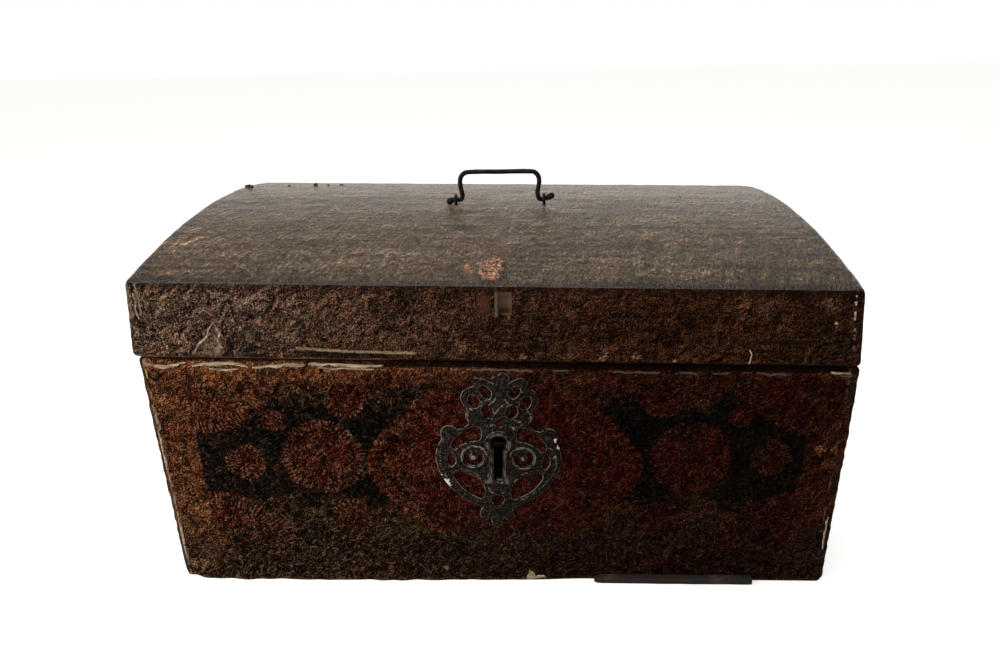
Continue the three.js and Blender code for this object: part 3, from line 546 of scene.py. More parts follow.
def lid_side_leather():
    g = Graph("lid_side_leather")
    big, patch, ragged = lid_patches(g)
    level = g.level()
    left = g.smooth(g.x, 150, -250)
    streak = g.noise((30, 30, 3.0), 4, 0.65, 0.25, shift=1.7)
    g.colour = g.between(patch, 0.38, 0.64, (0.0135, 0.0044, 0.002), (0.029, 0.0105, 0.0045))
    g.stain(big, 0.42, 0.66, 0.45, (0.048, 0.021, 0.008))
    g.lay(left * (0.3 + g.smooth(patch, 0.35, 0.6) * 0.5), (0.064, 0.042, 0.03))
    # painted shade: darker towards the right end, away from the light at the left
    g.stain(g.x, 120, 215, 0.6, (0.0125, 0.0055, 0.003))
    # dustier at the left, streaked
    g.stain(streak, 0.5, 0.66, 0.18 + left * 0.2, (0.085, 0.05, 0.026))
    at_front = g.smooth(g.y, -153, -156)
    lay_spots(g, LID_SPOTS, ragged * 0.9, at_front, 0.8)
    # colours of the rubbed points, partly dust and partly painted highlights, and of the scratches and
    # painted highlights
    dust_and_highlights = g.blend(left, (0.2, 0.13, 0.08), (0.29, 0.24, 0.19))
    scratches_and_highlights = g.blend(left, (0.13, 0.075, 0.045), (0.17, 0.13, 0.1))
    share = (0.4 + left * 0.5) * (0.35 + at_front * 0.65)
    fine = weathered(g, 8.5 + at_front * 8.5, 5.2, dust_and_highlights, scratches_and_highlights, share, 0.32, left * 0.25 + 0.3)
    # painted shade: darker and redder from the left towards the middle and the right, away from the light at
    # the left
    g.lay(1.0, g.between(g.x, -200, -40, (1.03, 1.0, 0.97), (0.88, 0.74, 0.66)), "MULTIPLY")
    # dark under the top edge, painted shade along a crease near the rim, and painted shadow along the lower
    # edge over the joint
    g.stain(level + (patch - 0.5) * 8, 227, 234, 0.6, (0.011, 0.0045, 0.0032))
    crease = g.band(level - 186.4 + (patch - 0.5) * 4, 3.4, 1.2)
    crease = crease * g.smooth(g.x, -140, -118) * g.smooth(g.x, -58, -70)
    # painted shadow of the joint along the lid's lower edge
    under = g.smooth(level + (patch - 0.5) * 3, 184.4, 182.2) * g.smooth(g.x, -78, -60)
    g.lay(g.greatest(crease * 0.8, under * 0.85), (0.0045, 0.0016, 0.0012))
    hem = g.smooth(line_in_front(g, HEM_LINE) + ragged * 0.14, 1.3, 0.5)
    g.lay(hem * g.smooth(fine, 0.36, 0.5) * at_front * 0.85, (0.34, 0.25, 0.15))
    low_hem = g.band(level - 181.9 + ragged * 0.05, 0.8, 0.3) * g.smooth(g.x, -60, -80)
    g.lay(low_hem * g.smooth(fine, 0.4, 0.54) * at_front * 0.6, (0.26, 0.19, 0.12))
    # torn place at the left: a flap of grain gone, a painted shadow along its left beside the lifted fold,
    # broken pale lips, and painted shade in the hollow under the right lip
    line_a = line_in_front(g, TEAR_LEFT)
    line_b = line_in_front(g, TEAR_RIGHT)
    inner = g.smooth(g.x * 0.81 - g.z * 0.587 + ragged * 0.3, -270.5, -268.7)
    torn = inner * g.smooth(g.x + ragged * 0.5, -176.6, -179.4)
    torn = torn * g.smooth(g.z + ragged * 0.4, 213, 208) * g.smooth(g.z + ragged * 0.5, 185, 191)
    g.lay(torn * at_front * 0.92, g.between(fine, 0.4, 0.6, (0.03, 0.015, 0.01), (0.3, 0.19, 0.135)))
    # painted shadow beside the lifted fold
    fold_shadow = g.smooth(line_a + ragged * 0.25, 3.6, 1.0) * (1 - inner) * g.smooth(g.z, 214, 210)
    g.lay(fold_shadow * 0.85 * at_front, (0.006, 0.004, 0.004))
    right_lip = g.smooth(line_b + ragged * 0.45, 1.2, 0.3)
    lips = g.greatest(g.smooth(line_a + ragged * 0.3, 1.3, 0.4), right_lip * 0.85)
    broken = g.smooth(g.noise((4, 4, 4), 2, shift=41), 0.42, 0.54)
    lips = lips * broken * g.smooth(g.z, 214, 211) * g.smooth(g.z, 187, 190)
    g.lay(lips * at_front * 0.85, (0.34, 0.27, 0.2))
    # painted shade in the hollow under the right lip
    hollow_shade = g.smooth(g.distance(-171.5, 196.5, 0.75, 1.4) + ragged * 0.5, 4.0, 2.0)
    g.lay(hollow_shade * at_front * 0.9, (0.005, 0.005, 0.006))
    # the bare left corner, the chalky line down the right one, and single rubbed spots
    near_front = g.smooth(g.y, -150, -155)
    corner = g.smooth(g.x + ragged * 0.25, -231.4, -233.2) * g.smooth(g.z + ragged * 0.5, 212, 215)
    g.lay(corner * near_front * g.smooth(fine, 0.4, 0.54) * 0.75, (0.2, 0.125, 0.075))
    outline = g.band(g.x + 229.4 + ragged * 0.3, 1.6, 0.5) * g.smooth(g.z, 204, 211)
    g.lay(outline * near_front * 0.85, (0.006, 0.004, 0.003))
    edge_of_it = g.band(g.x + 226.9 + ragged * 0.35, 1.0, 0.3) * g.smooth(g.z, 214, 219)
    g.lay(edge_of_it * 0.7 * at_front, (0.3, 0.24, 0.18))
    chalk = g.smooth(line_in_front(g, CHALK_LINE) + ragged * 0.22, 0.75, 0.2)
    dashes = g.smooth(g.noise((40, 40, 2.6), 2, shift=18), 0.5, 0.57)
    g.lay(chalk * dashes * at_front * (0.25 + g.smooth(g.z, 203, 210) * 0.65), (0.55, 0.46, 0.38))
    lay_spots(g, LID_FLECKS, ragged * 0.25, at_front, 0.85)
    scratch = g.smooth(line_in_front(g, SCRATCH_LINE) + ragged * 0.06, 0.5, 0.15)
    g.lay(scratch * at_front * 0.85, (0.7, 0.6, 0.5))
    smear = g.smooth(g.distance(186, 195.6, 20, 1.7) + ragged * 0.05, 1.15, 0.8)
    g.lay(smear * at_front * 0.7, (0.005, 0.0035, 0.004))
    # pale side of the notch, and leather rubbed red beside it
    side = g.band(g.x - 4.6, 1.3, 0.7) * g.smooth(g.z, 213.5, 215.5) * g.smooth(g.z, 232.5, 229)
    g.lay(side * at_front * 0.8, (0.2, 0.16, 0.13))
    red = g.smooth(g.distance(-3.5, 222, 1, 2.3) + ragged * 0.5, 5, 2)
    g.lay(red * at_front * 0.5, (0.1, 0.035, 0.022))
    height = fine * 1.4 + streak * 0.5 + patch * 0.9
    return g.surface(0.6 + patch * 0.2, height, 0.9, 0.7, Specular_IOR_Level=0.03)


# The pattern on the front: roundels as (x, z, radius, strokes round the rim), and quarter fans in the
# corners, each with the middle of its flower
ROUNDELS = (
    (-120.7, 106, 29.8, 58), (-176, 102, 14.5, 24), (-153, 136, 8.4, 16),
    (136.5, 107, 28.0, 58), (191.5, 107, 13.5, 24), (168, 139, 8.4, 16),
    (-100, 153, 15, 24), (114, 153, 15, 24), (-104, 54, 16, 26), (118, 54, 16, 26),
)
FANS = ((-205, 14, (-187, 37)), (-205, 187, (-188, 165)), (221, 18, (203, 39)), (221, 187, (204, 165)))
FAN_STROKES = 118
MEDALLION = (6.5, 100)
FLOWERS = ((-60, 130), (-56, 74), (73, 130), (69, 74))
BODY_SPOTS = (
    (223.5, 114, 3.4, 1.2, (0.1, 0.05, 0.02)), (233, 113, 2.4, 1.2, (0.09, 0.05, 0.025)),
    (217, 172, 4, 0.7, (0.11, 0.04, 0.012)), (-226, 12, 6, 0.8, (0.07, 0.042, 0.026)),
    (-229, 150, 4, 2.4, (0.1, 0.052, 0.03)), (-215, 60, 6, 1.6, (0.075, 0.036, 0.016)),
    (-190, 172, 9, 0.5, (0.085, 0.036, 0.012)), (-150, 168, 8, 0.4, (0.06, 0.024, 0.009)),
    (60, 168, 9, 0.4, (0.05, 0.017, 0.007)),
)
BODY_CHIPS = ((26, 3.4, 3.2, 1.2, (0.42, 0.32, 0.2)), (-38, 10, 1.8, 0.8, (0.2, 0.14, 0.09)))


def front_pattern(g, ragged):
    # where the pattern is bordered, red, drawn in pale strokes, and pressed in
    true_x, true_z = g.x, g.z
    # hand-drawn, so it wanders a little
    g.x = g.x + (g.noise(22, 2, shift=31) - 0.5) * 8
    g.z = g.z + (g.noise(22, 2, shift=37) - 0.5) * 8
    red, strokes, dents = [], [], []

    def petals(cx, cz, kind, count):
        return g.math(kind, g.math("ARCTAN2", g.x - cx, g.z - cz) * count)

    def hatch(cx, cz, count):
        return g.smooth(petals(cx, cz, "SINE", count), -0.2, 0.8)

    def roundel(cx, cz, radius, count):
        d = g.distance(cx, cz) + ragged * 0.22
        area = g.smooth(d, radius + 0.8, radius - 1.0)
        rim = g.smooth(d, radius * 0.74, radius * 0.82) * area
        lines = hatch(cx, cz, count)
        red.append(area)
        strokes.append(rim * lines)
        ring = g.band(d - radius * 0.72, 1.2, 0.4)
        inner = g.smooth(d, radius * 0.62, radius * 0.5) * g.smooth(petals(cx, cz, "SINE", 8), 0.55, 0.95)
        dents.append(g.greatest(ring, inner * 0.7, rim * (1 - lines)))

    for row in ROUNDELS:
        roundel(*row)
    for cx, cz, flower in FANS:
        d = g.distance(cx, cz)
        red.append(g.smooth(d + ragged * 0.3, 63.5, 61.5))
        band = g.band(d - 56.5, 5.4, 4.4)
        lines = hatch(cx, cz, FAN_STROKES)
        strokes.append(band * lines * 1.3)
        dents.append(band * (1 - lines))
        roundel(*flower, 12, 14)
    # middle medallion: a lobed field with four flowers
    lobes = g.distance(*MEDALLION, 94, 64) - petals(*MEDALLION, "COSINE", 8) * 0.035 + ragged * 0.004
    area = g.smooth(lobes, 1.012, 0.988)
    red.append(area)
    strokes.append(g.smooth(lobes, 0.87, 0.9) * area * hatch(*MEDALLION, 100) * 0.8)
    dents.append(g.band(lobes - 0.86, 0.02, 0.006))
    for cx, cz in FLOWERS:
        edge = g.distance(cx, cz) - 11 - petals(cx, cz, "COSINE", 8) * 2.4
        dents.append(g.band(edge, 1.4, 0.4))
        strokes.append(g.smooth(edge, -1, -3) * 0.35)
    inset = g.greatest(-209.5 - g.x, g.x - 213.0, 24.0 - g.z, g.z - 162.5)
    border = g.smooth(inset + ragged * 0.6, -1.6, 1.8)
    dents.append(g.band(inset + 1.5, 1.3, 0.4) * 0.6)
    g.x, g.z = true_x, true_z
    return border, *(g.greatest(*parts) for parts in (red, strokes, dents))


def body_leather():
    g = Graph("body_leather")
    big = g.noise(80, 3, 0.6, shift=2.0)
    patch = g.noise((30, 26, 24), 5, 0.65, 0.8, shift=6.1)
    blot = g.noise((17, 17, 13), 4, 0.66, 0.9, shift=14.2)
    ragged = g.ragged()
    level = g.level()
    front = g.smooth(g.y, -150.5, -152.5)
    left = g.smooth(g.x, 90, -235)
    border, red, strokes, dents = front_pattern(g, ragged)
    # the black ground is clear only in places in the middle band; elsewhere it has browned
    clear = g.smooth(abs(g.z - 108) + (blot - 0.5) * 95, 52, 34)
    worn_black = g.between(blot, 0.4, 0.6, (0.0095, 0.0052, 0.0026), (0.021, 0.0105, 0.0048))
    ground = g.blend(clear, worn_black, (0.0013, 0.0011, 0.0009))
    paint = g.between(patch, 0.34, 0.66, (0.0145, 0.0011, 0.0008), (0.026, 0.003, 0.0013))
    paler = g.between(blot, 0.38, 0.62, (0.025, 0.0036, 0.0015), (0.04, 0.0105, 0.0034))
    paint = g.blend(left * 0.85, paint, paler)
    red = g.greatest(red, border) * (0.65 + g.smooth(patch, 0.3, 0.5) * 0.35)
    black = clear * (1 - red)
    g.colour = g.blend(red, ground, paint)
    g.lay(g.least(dents, 1.0) * 0.7, (0.0045, 0.0013, 0.001))
    drawn_here = (0.1 + left * 0.34) * (0.4 + g.smooth(blot, 0.42, 0.58))
    g.lay(g.least(strokes, 1.0) * drawn_here, (0.125, 0.058, 0.027))
    # plain leather round the pattern, at the ends and at the back
    plain = g.between(patch, 0.35, 0.68, (0.013, 0.0038, 0.0018), (0.03, 0.0098, 0.004))
    paler = g.between(blot, 0.4, 0.6, (0.034, 0.0145, 0.0065), (0.06, 0.027, 0.012))
    plain = g.blend(left * 0.7, plain, paler)
    g.colour = g.blend(front, plain, g.colour)
    g.lay(border * front * 0.75, plain)
    g.stain(big + (patch - 0.5) * 0.5, 0.47, 0.75, 0.1 + left * 0.35, (0.06, 0.029, 0.0135))
    # darker towards the foot, rubbed along the rim at the left
    g.stain(g.z + (patch - 0.5) * 26, 58, 18, 0.75, (0.0095, 0.0054, 0.0032))
    g.stain(level + (patch - 0.5) * 14, 164, 175, 0.1 + left * 0.75, (0.088, 0.041, 0.019))
    lay_spots(g, BODY_SPOTS, ragged * 0.9, front, 0.75)
    # painted shade: the red darker from the middle towards the right, away from the light at the left
    painted_shade_right = g.smooth(g.x, -20, 120) * g.smooth(g.x, 232, 205)
    g.lay(painted_shade_right * 0.45 * (1 - black), (0.0105, 0.0011, 0.001))
    # share of scratches, rubbed points and painted highlights, more at the left and on the front, less on the
    # black
    wear_and_highlight_share = (0.22 + left * 0.7) * (1 - black * 0.7) * (0.35 + front * 0.65)
    dust_and_highlights = g.blend(red * front, (0.26, 0.19, 0.13), (0.2, 0.1, 0.055))
    g.lay(1.0, g.between(g.z, 45, 80, (0.88, 0.8, 0.76), (1.0, 0.78, 0.67)), "MULTIPLY")
    # painted light: brighter at the left end and along the top at the left, where the light falls
    painted_light_left = g.greatest(g.smooth(g.x, -188, -214), g.smooth(g.z, 158, 170) * left)
    g.lay(painted_light_left * front, (1.45, 1.45, 1.4), "MULTIPLY")
    fine = weathered(g, 8.0 + front * 8.5, 3.3, dust_and_highlights, (0.14, 0.096, 0.062), wear_and_highlight_share, 0.3, left * 0.15 + 0.3)
    # the left edge: worn to the pale flesh side in a broken line, dark beyond it
    side_line = g.x + 234.6 + ragged * 0.16
    worn = g.band(side_line, 1.0, 0.35) * g.smooth(g.noise((4, 4, 6), 3, 0.6, shift=33), 0.5, 0.56)
    g.lay(g.smooth(side_line, -0.9, -1.5) * front * 0.6, (0.012, 0.006, 0.004))
    g.lay(worn * front * 0.85, (0.42, 0.3, 0.17))
    # pale line under the joint, and painted shadow between it and the lid
    wander = (g.noise((16, 16, 16), 2, shift=44) - 0.5) * 5
    pale = g.band(level - 174.4 + wander + ragged * 0.08, 0.95, 0.3)
    pale = pale * g.smooth(g.noise((12, 12, 12), 2, shift=25), 0.45, 0.56) * g.smooth(g.x, -95, -70)
    g.lay(pale * (0.25 + left * 0.5) * front, (0.3, 0.23, 0.16))
    # painted shadow under the lid's edge
    deep_shadow = g.smooth(level + ragged * 0.1, 175.2, 176.6) * g.smooth(g.x, -84, -66)
    g.lay(deep_shadow * 0.88, (0.0035, 0.0014, 0.001))
    gap_shadow = g.smooth(level + ragged * 0.15 + (blot - 0.5) * 6, 177.4, 179) * g.smooth(g.x, -66, -84)
    g.lay(gap_shadow * 0.8, (0.006, 0.003, 0.002))
    # worn edges at the ends and the foot
    broken = g.smooth(g.noise((7, 7, 9), 3, 0.65, shift=47), 0.45, 0.55)
    seam_left = g.band(g.x + 234.2 + wander * 0.7 + ragged * 0.3, 1.6, 0.2)
    seam_left = seam_left * broken * g.smooth(fine, 0.36, 0.52)
    seam_right = g.band(g.x - 234.5 + wander * 0.4 + ragged * 0.2, 1.0, 0.3) * 0.3 * broken
    g.lay(g.greatest(seam_left, seam_right) * 0.75 * front, (0.3, 0.21, 0.14))
    ends = g.greatest(g.smooth(g.x, -233.5, -236) * 0.6, g.smooth(g.x, 234, 237) * 0.12) * broken
    g.lay(ends * g.smooth(fine, 0.42, 0.6), (0.16, 0.105, 0.065))
    foot_line = g.smooth(g.z + ragged * 0.3, 2.8, 1.2) * g.smooth(fine, 0.5, 0.64)
    g.lay(foot_line * 0.6, (0.24, 0.17, 0.11))
    lay_spots(g, BODY_CHIPS, ragged * 0.6, front, 0.8)
    knot = g.band(g.distance(-229.2, 171) - 3.4 + ragged * 0.2, 1.5, 0.6) * front
    g.lay(knot * 0.85, (0.005, 0.003, 0.002))
    height = fine * 1.4 + patch * 0.9 - dents * 0.9 * front
    return g.surface(0.6 + patch * 0.2, height, 0.9, 0.6, Specular_IOR_Level=0.02)


def torn_edge():
    g = Graph("torn_edge")
    fibre = g.noise((14, 1.2, 0.9), 4, 0.7, 0.4)
    g.colour = g.between(fibre, 0.38, 0.62, (0.2, 0.13, 0.08), (0.62, 0.49, 0.34))
    g.stain(g.noise(16, 3, shift=4), 0.52, 0.68, 0.7, (0.05, 0.028, 0.016))
    return g.surface(0.75 + fibre * 0.15, fibre, 0.8, 0.3, Specular_IOR_Level=0.2)


def iron_material(name, dark, light, rust):
    g = Graph(name)
    patch = g.noise(7, 4, 0.6, 0.4)
    fine = g.noise(1.1, 4, 0.65, shift=3)
    g.colour = g.between(patch, 0.35, 0.7, dark, light)
    g.stain(g.noise(3.2, 4, 0.7, shift=6), 0.55, 0.72, 0.5, rust)
    height = patch * 0.6 + fine * 0.5 - g.smooth(fine, 0.42, 0.3) * 0.4
    return g.surface(0.38 + patch * 0.2, height, 0.7, 0.25, Metallic=0.75)


# bright spots on the lock plate's edge, worn bright and painted as glints, as (u, v, radius) in its drawing
PLATE_WORN_GLINTS = (
    (-42, -29, 2.2), (-37.5, -33, 2.6), (-35.5, -35.5, 1.8), (43, -1.5, 2.4), (39.5, 3.5, 1.6),
)


def plate_material():
    # near-black iron, rubbed bright along its edges and on what stands proud, with painted highlights there
    # that are stronger at the left, where the light falls
    g = Graph("plate_iron")
    patch = g.noise(7, 4, 0.6, 0.4)
    fine = g.noise(1.5, 3, 0.65, shift=3)
    left = g.smooth(g.x, 45, -45)
    g.colour = g.between(patch, 0.35, 0.68, (0.0035, 0.0024, 0.0018), (0.011, 0.008, 0.0058))
    g.stain(g.noise(3.2, 4, 0.7, shift=6), 0.5, 0.66, 0.6, (0.019, 0.006, 0.0035))
    # painted light: paler at the left, where the light falls
    g.lay(left * g.smooth(fine, 0.46, 0.64) * 0.5, (0.07, 0.056, 0.042))
    # painted light and shade on the grain, with a painted highlight on its lit side
    grain = g.noise(1.7, 2, 0.8, 0.5, shift=5)
    lit = g.noise(1.7, 2, 0.8, 0.5, shift=5, nudge=(0.3, 0, -0.3)) - grain
    g.lay(1.0, g.math("POWER", EULER, (grain - 0.5) * 5 + lit * 8), "MULTIPLY")
    g.stain(lit, 0.12, 0.2, 0.5, (0.12, 0.1, 0.08))
    # how far the iron stands out, against the sheet's own face
    proud, face = g.y + (fine - 0.5) * 0.3, PLATE_FACE
    edge = g.smooth(proud, face + 0.02, face + 0.12) * g.smooth(proud, face + 0.42, face + 0.3)
    raised = g.smooth(proud, face - 0.42, face - 0.6) * g.smooth(g.y, face - 1.3, face - 1.1)
    guard = g.smooth(proud, face - 1.9, face - 2.02)
    guard_edge = g.band(proud - (face - 0.95), 0.25, 0.1)
    broken = g.smooth(g.noise(4.2, 3, 0.65, shift=8), 0.4, 0.52)
    # wear with painted highlights, stronger at the left
    worn_and_highlit = g.greatest(raised * 0.5, guard * 0.3, guard_edge, edge * 0.8) * broken
    g.lay(worn_and_highlit * (0.6 + left * 0.35), (0.45, 0.39, 0.33))
    ragged = (fine - 0.5) * 6
    # painted glints on worn spots of the edge
    for u, v, radius in PLATE_WORN_GLINTS:
        x, z = drawn([(u, v)])[0]
        g.lay(g.smooth(g.distance(x, z) + ragged, radius + 0.5, radius - 0.7), (0.85, 0.78, 0.7))
    height = patch * 0.5 + fine * 0.8 - g.smooth(fine, 0.44, 0.32) * 0.4
    return g.surface(0.55 + patch * 0.25, height, 0.9, 0.35, Specular_IOR_Level=0.05)


def lump_material(name, dark, light):
    g = Graph(name)
    patch = g.noise(1.2, 3, 0.6)
    g.colour = g.between(patch, 0.4, 0.6, dark, light)
    return g.surface(0.7 + patch * 0.2, patch, 0.8, 0.3)


def wood_material(name, dark, light):
    g = Graph(name)
    rings = g.noise((120, 5, 5), 4, 0.6, 1.2)
    fibre = g.noise((60, 0.9, 0.9), 4, 0.7, shift=4)
    g.colour = g.between(rings, 0.35, 0.65, dark, light)
    g.stain(fibre, 0.5, 0.75, 0.5, tuple(c * 0.45 for c in dark))
    g.stain(g.noise(30, 4, shift=9), 0.5, 0.75, 0.3, (0.3, 0.25, 0.19))
    # painted shade, nearly black, on the walls of the keyhole
    across = g.smooth(abs(g.x - LOCK_X), 11, 9)
    up = g.smooth(g.z, KEY_Z - 37, KEY_Z - 34) * g.smooth(g.z, KEY_Z + 12, KEY_Z + 9)
    g.lay(across * up * g.smooth(g.y, -128, -134) * 0.96, (0.008, 0.006, 0.005))
    return g.surface(0.68 + fibre * 0.2, fibre * 0.8 + rings * 0.4, 0.7, 0.3)


def paper_material():
    # old lining paper: stained, foxed, with tide marks, and fine wrinkles with painted light and shade
    g = Graph("lining_paper")
    damp = g.noise((130, 130, 60), 3, 0.55, shift=13)
    fibre = g.noise((2.2, 2.2, 1.2), 3, 0.7, shift=7)
    folds = g.noise(38, 2, 0.5, 0.5, shift=21)
    g.colour = g.between(g.noise(85, 5, 0.6, 0.3), 0.35, 0.68, (0.4, 0.3, 0.18), (0.27, 0.185, 0.105))
    g.lay(g.band(damp - 0.53, 0.012, 0.002) * 0.35, (0.17, 0.1, 0.05))
    g.stain(damp, 0.53, 0.56, 0.25, (0.22, 0.145, 0.08))
    g.stain(g.noise(7, 4, 0.7, shift=4), 0.6, 0.7, 0.55, (0.17, 0.095, 0.045))
    # painted shade along the wrinkles, and painted light and shade across them
    wrinkle = g.band(folds - 0.5, 0.012, 0.003) * g.smooth(g.noise(50, 1, shift=23), 0.5, 0.58)
    lit = g.noise(38, 2, 0.5, 0.5, shift=21, nudge=(0.03, 0.03, -0.03)) - folds
    g.lay(wrinkle * 0.4, (0.2, 0.14, 0.08))
    g.lay(1.0, g.math("POWER", EULER, lit * 5 + (fibre - 0.5) * 1.1), "MULTIPLY")
    g.stain(g.z, 30, 10, 0.35, (0.13, 0.085, 0.048))
    return g.surface(0.85 + fibre * 0.1, fibre * 0.5 - wrinkle, 0.6, 0.2, Specular_IOR_Level=0.15)


def drawn(points):
    # places on the front from the lock plate's drawing, in mm from the middle of the keyhole's round
    u, v = np.array(points, float).T
    c, k = math.cos(PLATE_TURN), math.sin(PLATE_TURN)
    return np.stack([LOCK_X + u * c + v * k, KEY_Z + v * c - u * k], 1)


make_camera()
make_light()
make_floor()

LID_TOP_SKIN = lid_top_leather()
LID_SKIN = lid_side_leather()
BODY_SKIN = body_leather()
TORN = torn_edge()
PLATE_IRON = plate_material()
BLACK_IRON = iron_material("black_iron", (0.012, 0.0105, 0.0095), (0.03, 0.027, 0.024), (0.045, 0.018, 0.009))
LOCK_IRON = iron_material("lock_iron", (0.05, 0.044, 0.038), (0.12, 0.105, 0.09), (0.09, 0.04, 0.018))
WOOD = wood_material("old_wood", (0.17, 0.095, 0.045), (0.3, 0.19, 0.105))
STRIP_WOOD = wood_material("strip_wood", (0.01, 0.0062, 0.0045), (0.028, 0.018, 0.012))
PAPER = paper_material()
LUMP = lump_material("dried_lump", (0.03, 0.01, 0.006), (0.09, 0.035, 0.02))
CRUST = lump_material("dried_crust", (0.17, 0.065, 0.036), (0.46, 0.24, 0.15))


def line_distance(x, z, line):
    # distance from a polyline, and its sign: positive to the right of the way that it runs
    best = np.full(len(x), 1e9)
    side = np.zeros(len(x))
    for (x0, z0), (x1, z1) in zip(line, line[1:]):
        dx, dz = x1 - x0, z1 - z0
        t = np.clip(((x - x0) * dx + (z - z0) * dz) / (dx * dx + dz * dz), 0, 1)
        ox, oz = x - x0 - t * dx, z - z0 - t * dz
        d = np.hypot(ox, oz)
        closer = d < best
        best = np.where(closer, d, best)
        side = np.where(closer, np.sign(ox * dz - oz * dx), side)
    return best, side


# Leather on the lid and the body
def tear_relief(points):
    # the torn place at the left of the lid's front: two lifted edges with the bare underside between them
    x, y, z = points.T
    near_left, side_left = line_distance(x, z, TEAR_LEFT)
    near_right, side_right = line_distance(x, z, TEAR_RIGHT)
    left_lip = np.where(side_left > 0, 1.9 * np.exp(-near_left / 4.5), 0)
    right_lip = np.where(side_right < 0, 1.5 * np.exp(-near_right / 5.5), 0)
    height = np.where((side_left < 0) & (side_right > 0), -0.5, left_lip + right_lip)
    return height * smoothstep(z, 185, 190) * smoothstep(z, 218, 212) * smoothstep(y, -155, -158.5)


HEM_WIDTH, HEM_WANDER, HEM_WAVE = 7.5, 2.5, 14


def past_hem(place, left, right, front, layer):
    # whether a place lies further in than the ragged hem of leather that is turned over an edge
    x, y, _ = place
    width = HEM_WIDTH + HEM_WANDER * noise_at(x / HEM_WAVE, y / HEM_WAVE, layer)
    return min(x - left, right - x, y - front, LID_BACK - y) > width


def behind_hinges(points):
    # the leather lies flat behind the hinges
    leaves = np.maximum.reduce([hump(points[:, 0], x, HINGE_SPREAD) for x in HINGES])
    return smoothstep(points[:, 1], LID_BACK - 6, LID_BACK - 1) * leaves


def chips(points, fine):
    # chipped corners: coarse noise, and fine noise of a size
    return ripples(points, (9, 9, 6), 4), ripples(points, fine, 8)


def make_lid_hide():
    # the fall has not been taken out of the notch's heights yet
    fall = FALL * (NOTCH[0] + NOTCH[1]) / 2 / HALF
    left, right, low, high = NOTCH[0], NOTCH[1], NOTCH[2] + fall, NOTCH[3] + fall
    # stations stand close together at the tear
    xs = stations(-HALF, HALF, LID_ROUND, 3.2, (*np.arange(-206, -164, 1.3), left, right))
    ys = stations(LID_FRONT, LID_BACK, LID_ROUND, 4.0)
    zs = stations(RIM + FIT, RIM + LID_WALL, LID_ROUND, 2.6, (*np.arange(185.5, 212, 1.3), low, high))

    def dropped(axis, end, middle):
        if axis == 1 and end == 0:
            return left < middle[0] < right and low < middle[2] < high
        return axis == 2 and end == 0 and past_hem(middle, -HALF, HALF, LID_FRONT, 3)

    points, faces = rounded_shell((xs, ys, zs), LID_ROUND, dropped)
    points = lid_place(points)
    normals = normals_of(points, faces)
    x, y, z = points.T
    level = z + FALL * x / HALF
    front = smoothstep(y, -156.5, -158.5)
    swell = (
        0.42 + 0.32 * ripples(points, (46, 40, 40)) + 0.26 * ripples(points, (15, 11, 11), 5)
        + 0.2 * ripples(points, (26, 3.2, 3.2), 9) + 0.13 * ripples(points, (5, 3.4, 3.4), 2)
    )
    # waves in front of the handle
    swell += hump(x, 15, 75) * hump(y, -25, 42) * 0.5 * ripples(points, (60, 6.5, 9), 15)
    # a crease above the lower edge, where the front's leather was drawn round a bead
    swell -= 0.35 * hump(level, 189.3, 1.5) * front
    swell += 0.3 * hump(level, 185.6, 1.8) * front
    # chipped edges along the top of the front and down its corners
    corner = hump(level, 233.5, 3) + hump(HALF - np.abs(x) - (z - RIM) * LEAN, 0, 3)
    coarse, fine = chips(points, (3.6, 3.6, 3.6))
    swell += corner * (0.45 * coarse + 0.3 * fine) * front
    near_rim = smoothstep(level, RIM + 0.5, RIM + 4)
    swell = np.clip(swell, 0.03, 1.3) * near_rim * (1 - behind_hinges(points))
    swell += tear_relief(points)
    hide = mesh_piece("lid_hide", points + normals * swell[:, None], faces, LID_SKIN)
    hide.data.materials.append(LID_TOP_SKIN)
    tops = [int(normals[face, 2].mean() > 0.62) for face in faces]
    hide.data.polygons.foreach_set("material_index", tops)
    thicken(hide, HIDE)
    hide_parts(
        "lid_top_leather", "lid_front_leather", "lid_back_leather", "lid_left_leather",
        "lid_right_leather",
    )
    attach(hide, "lid")


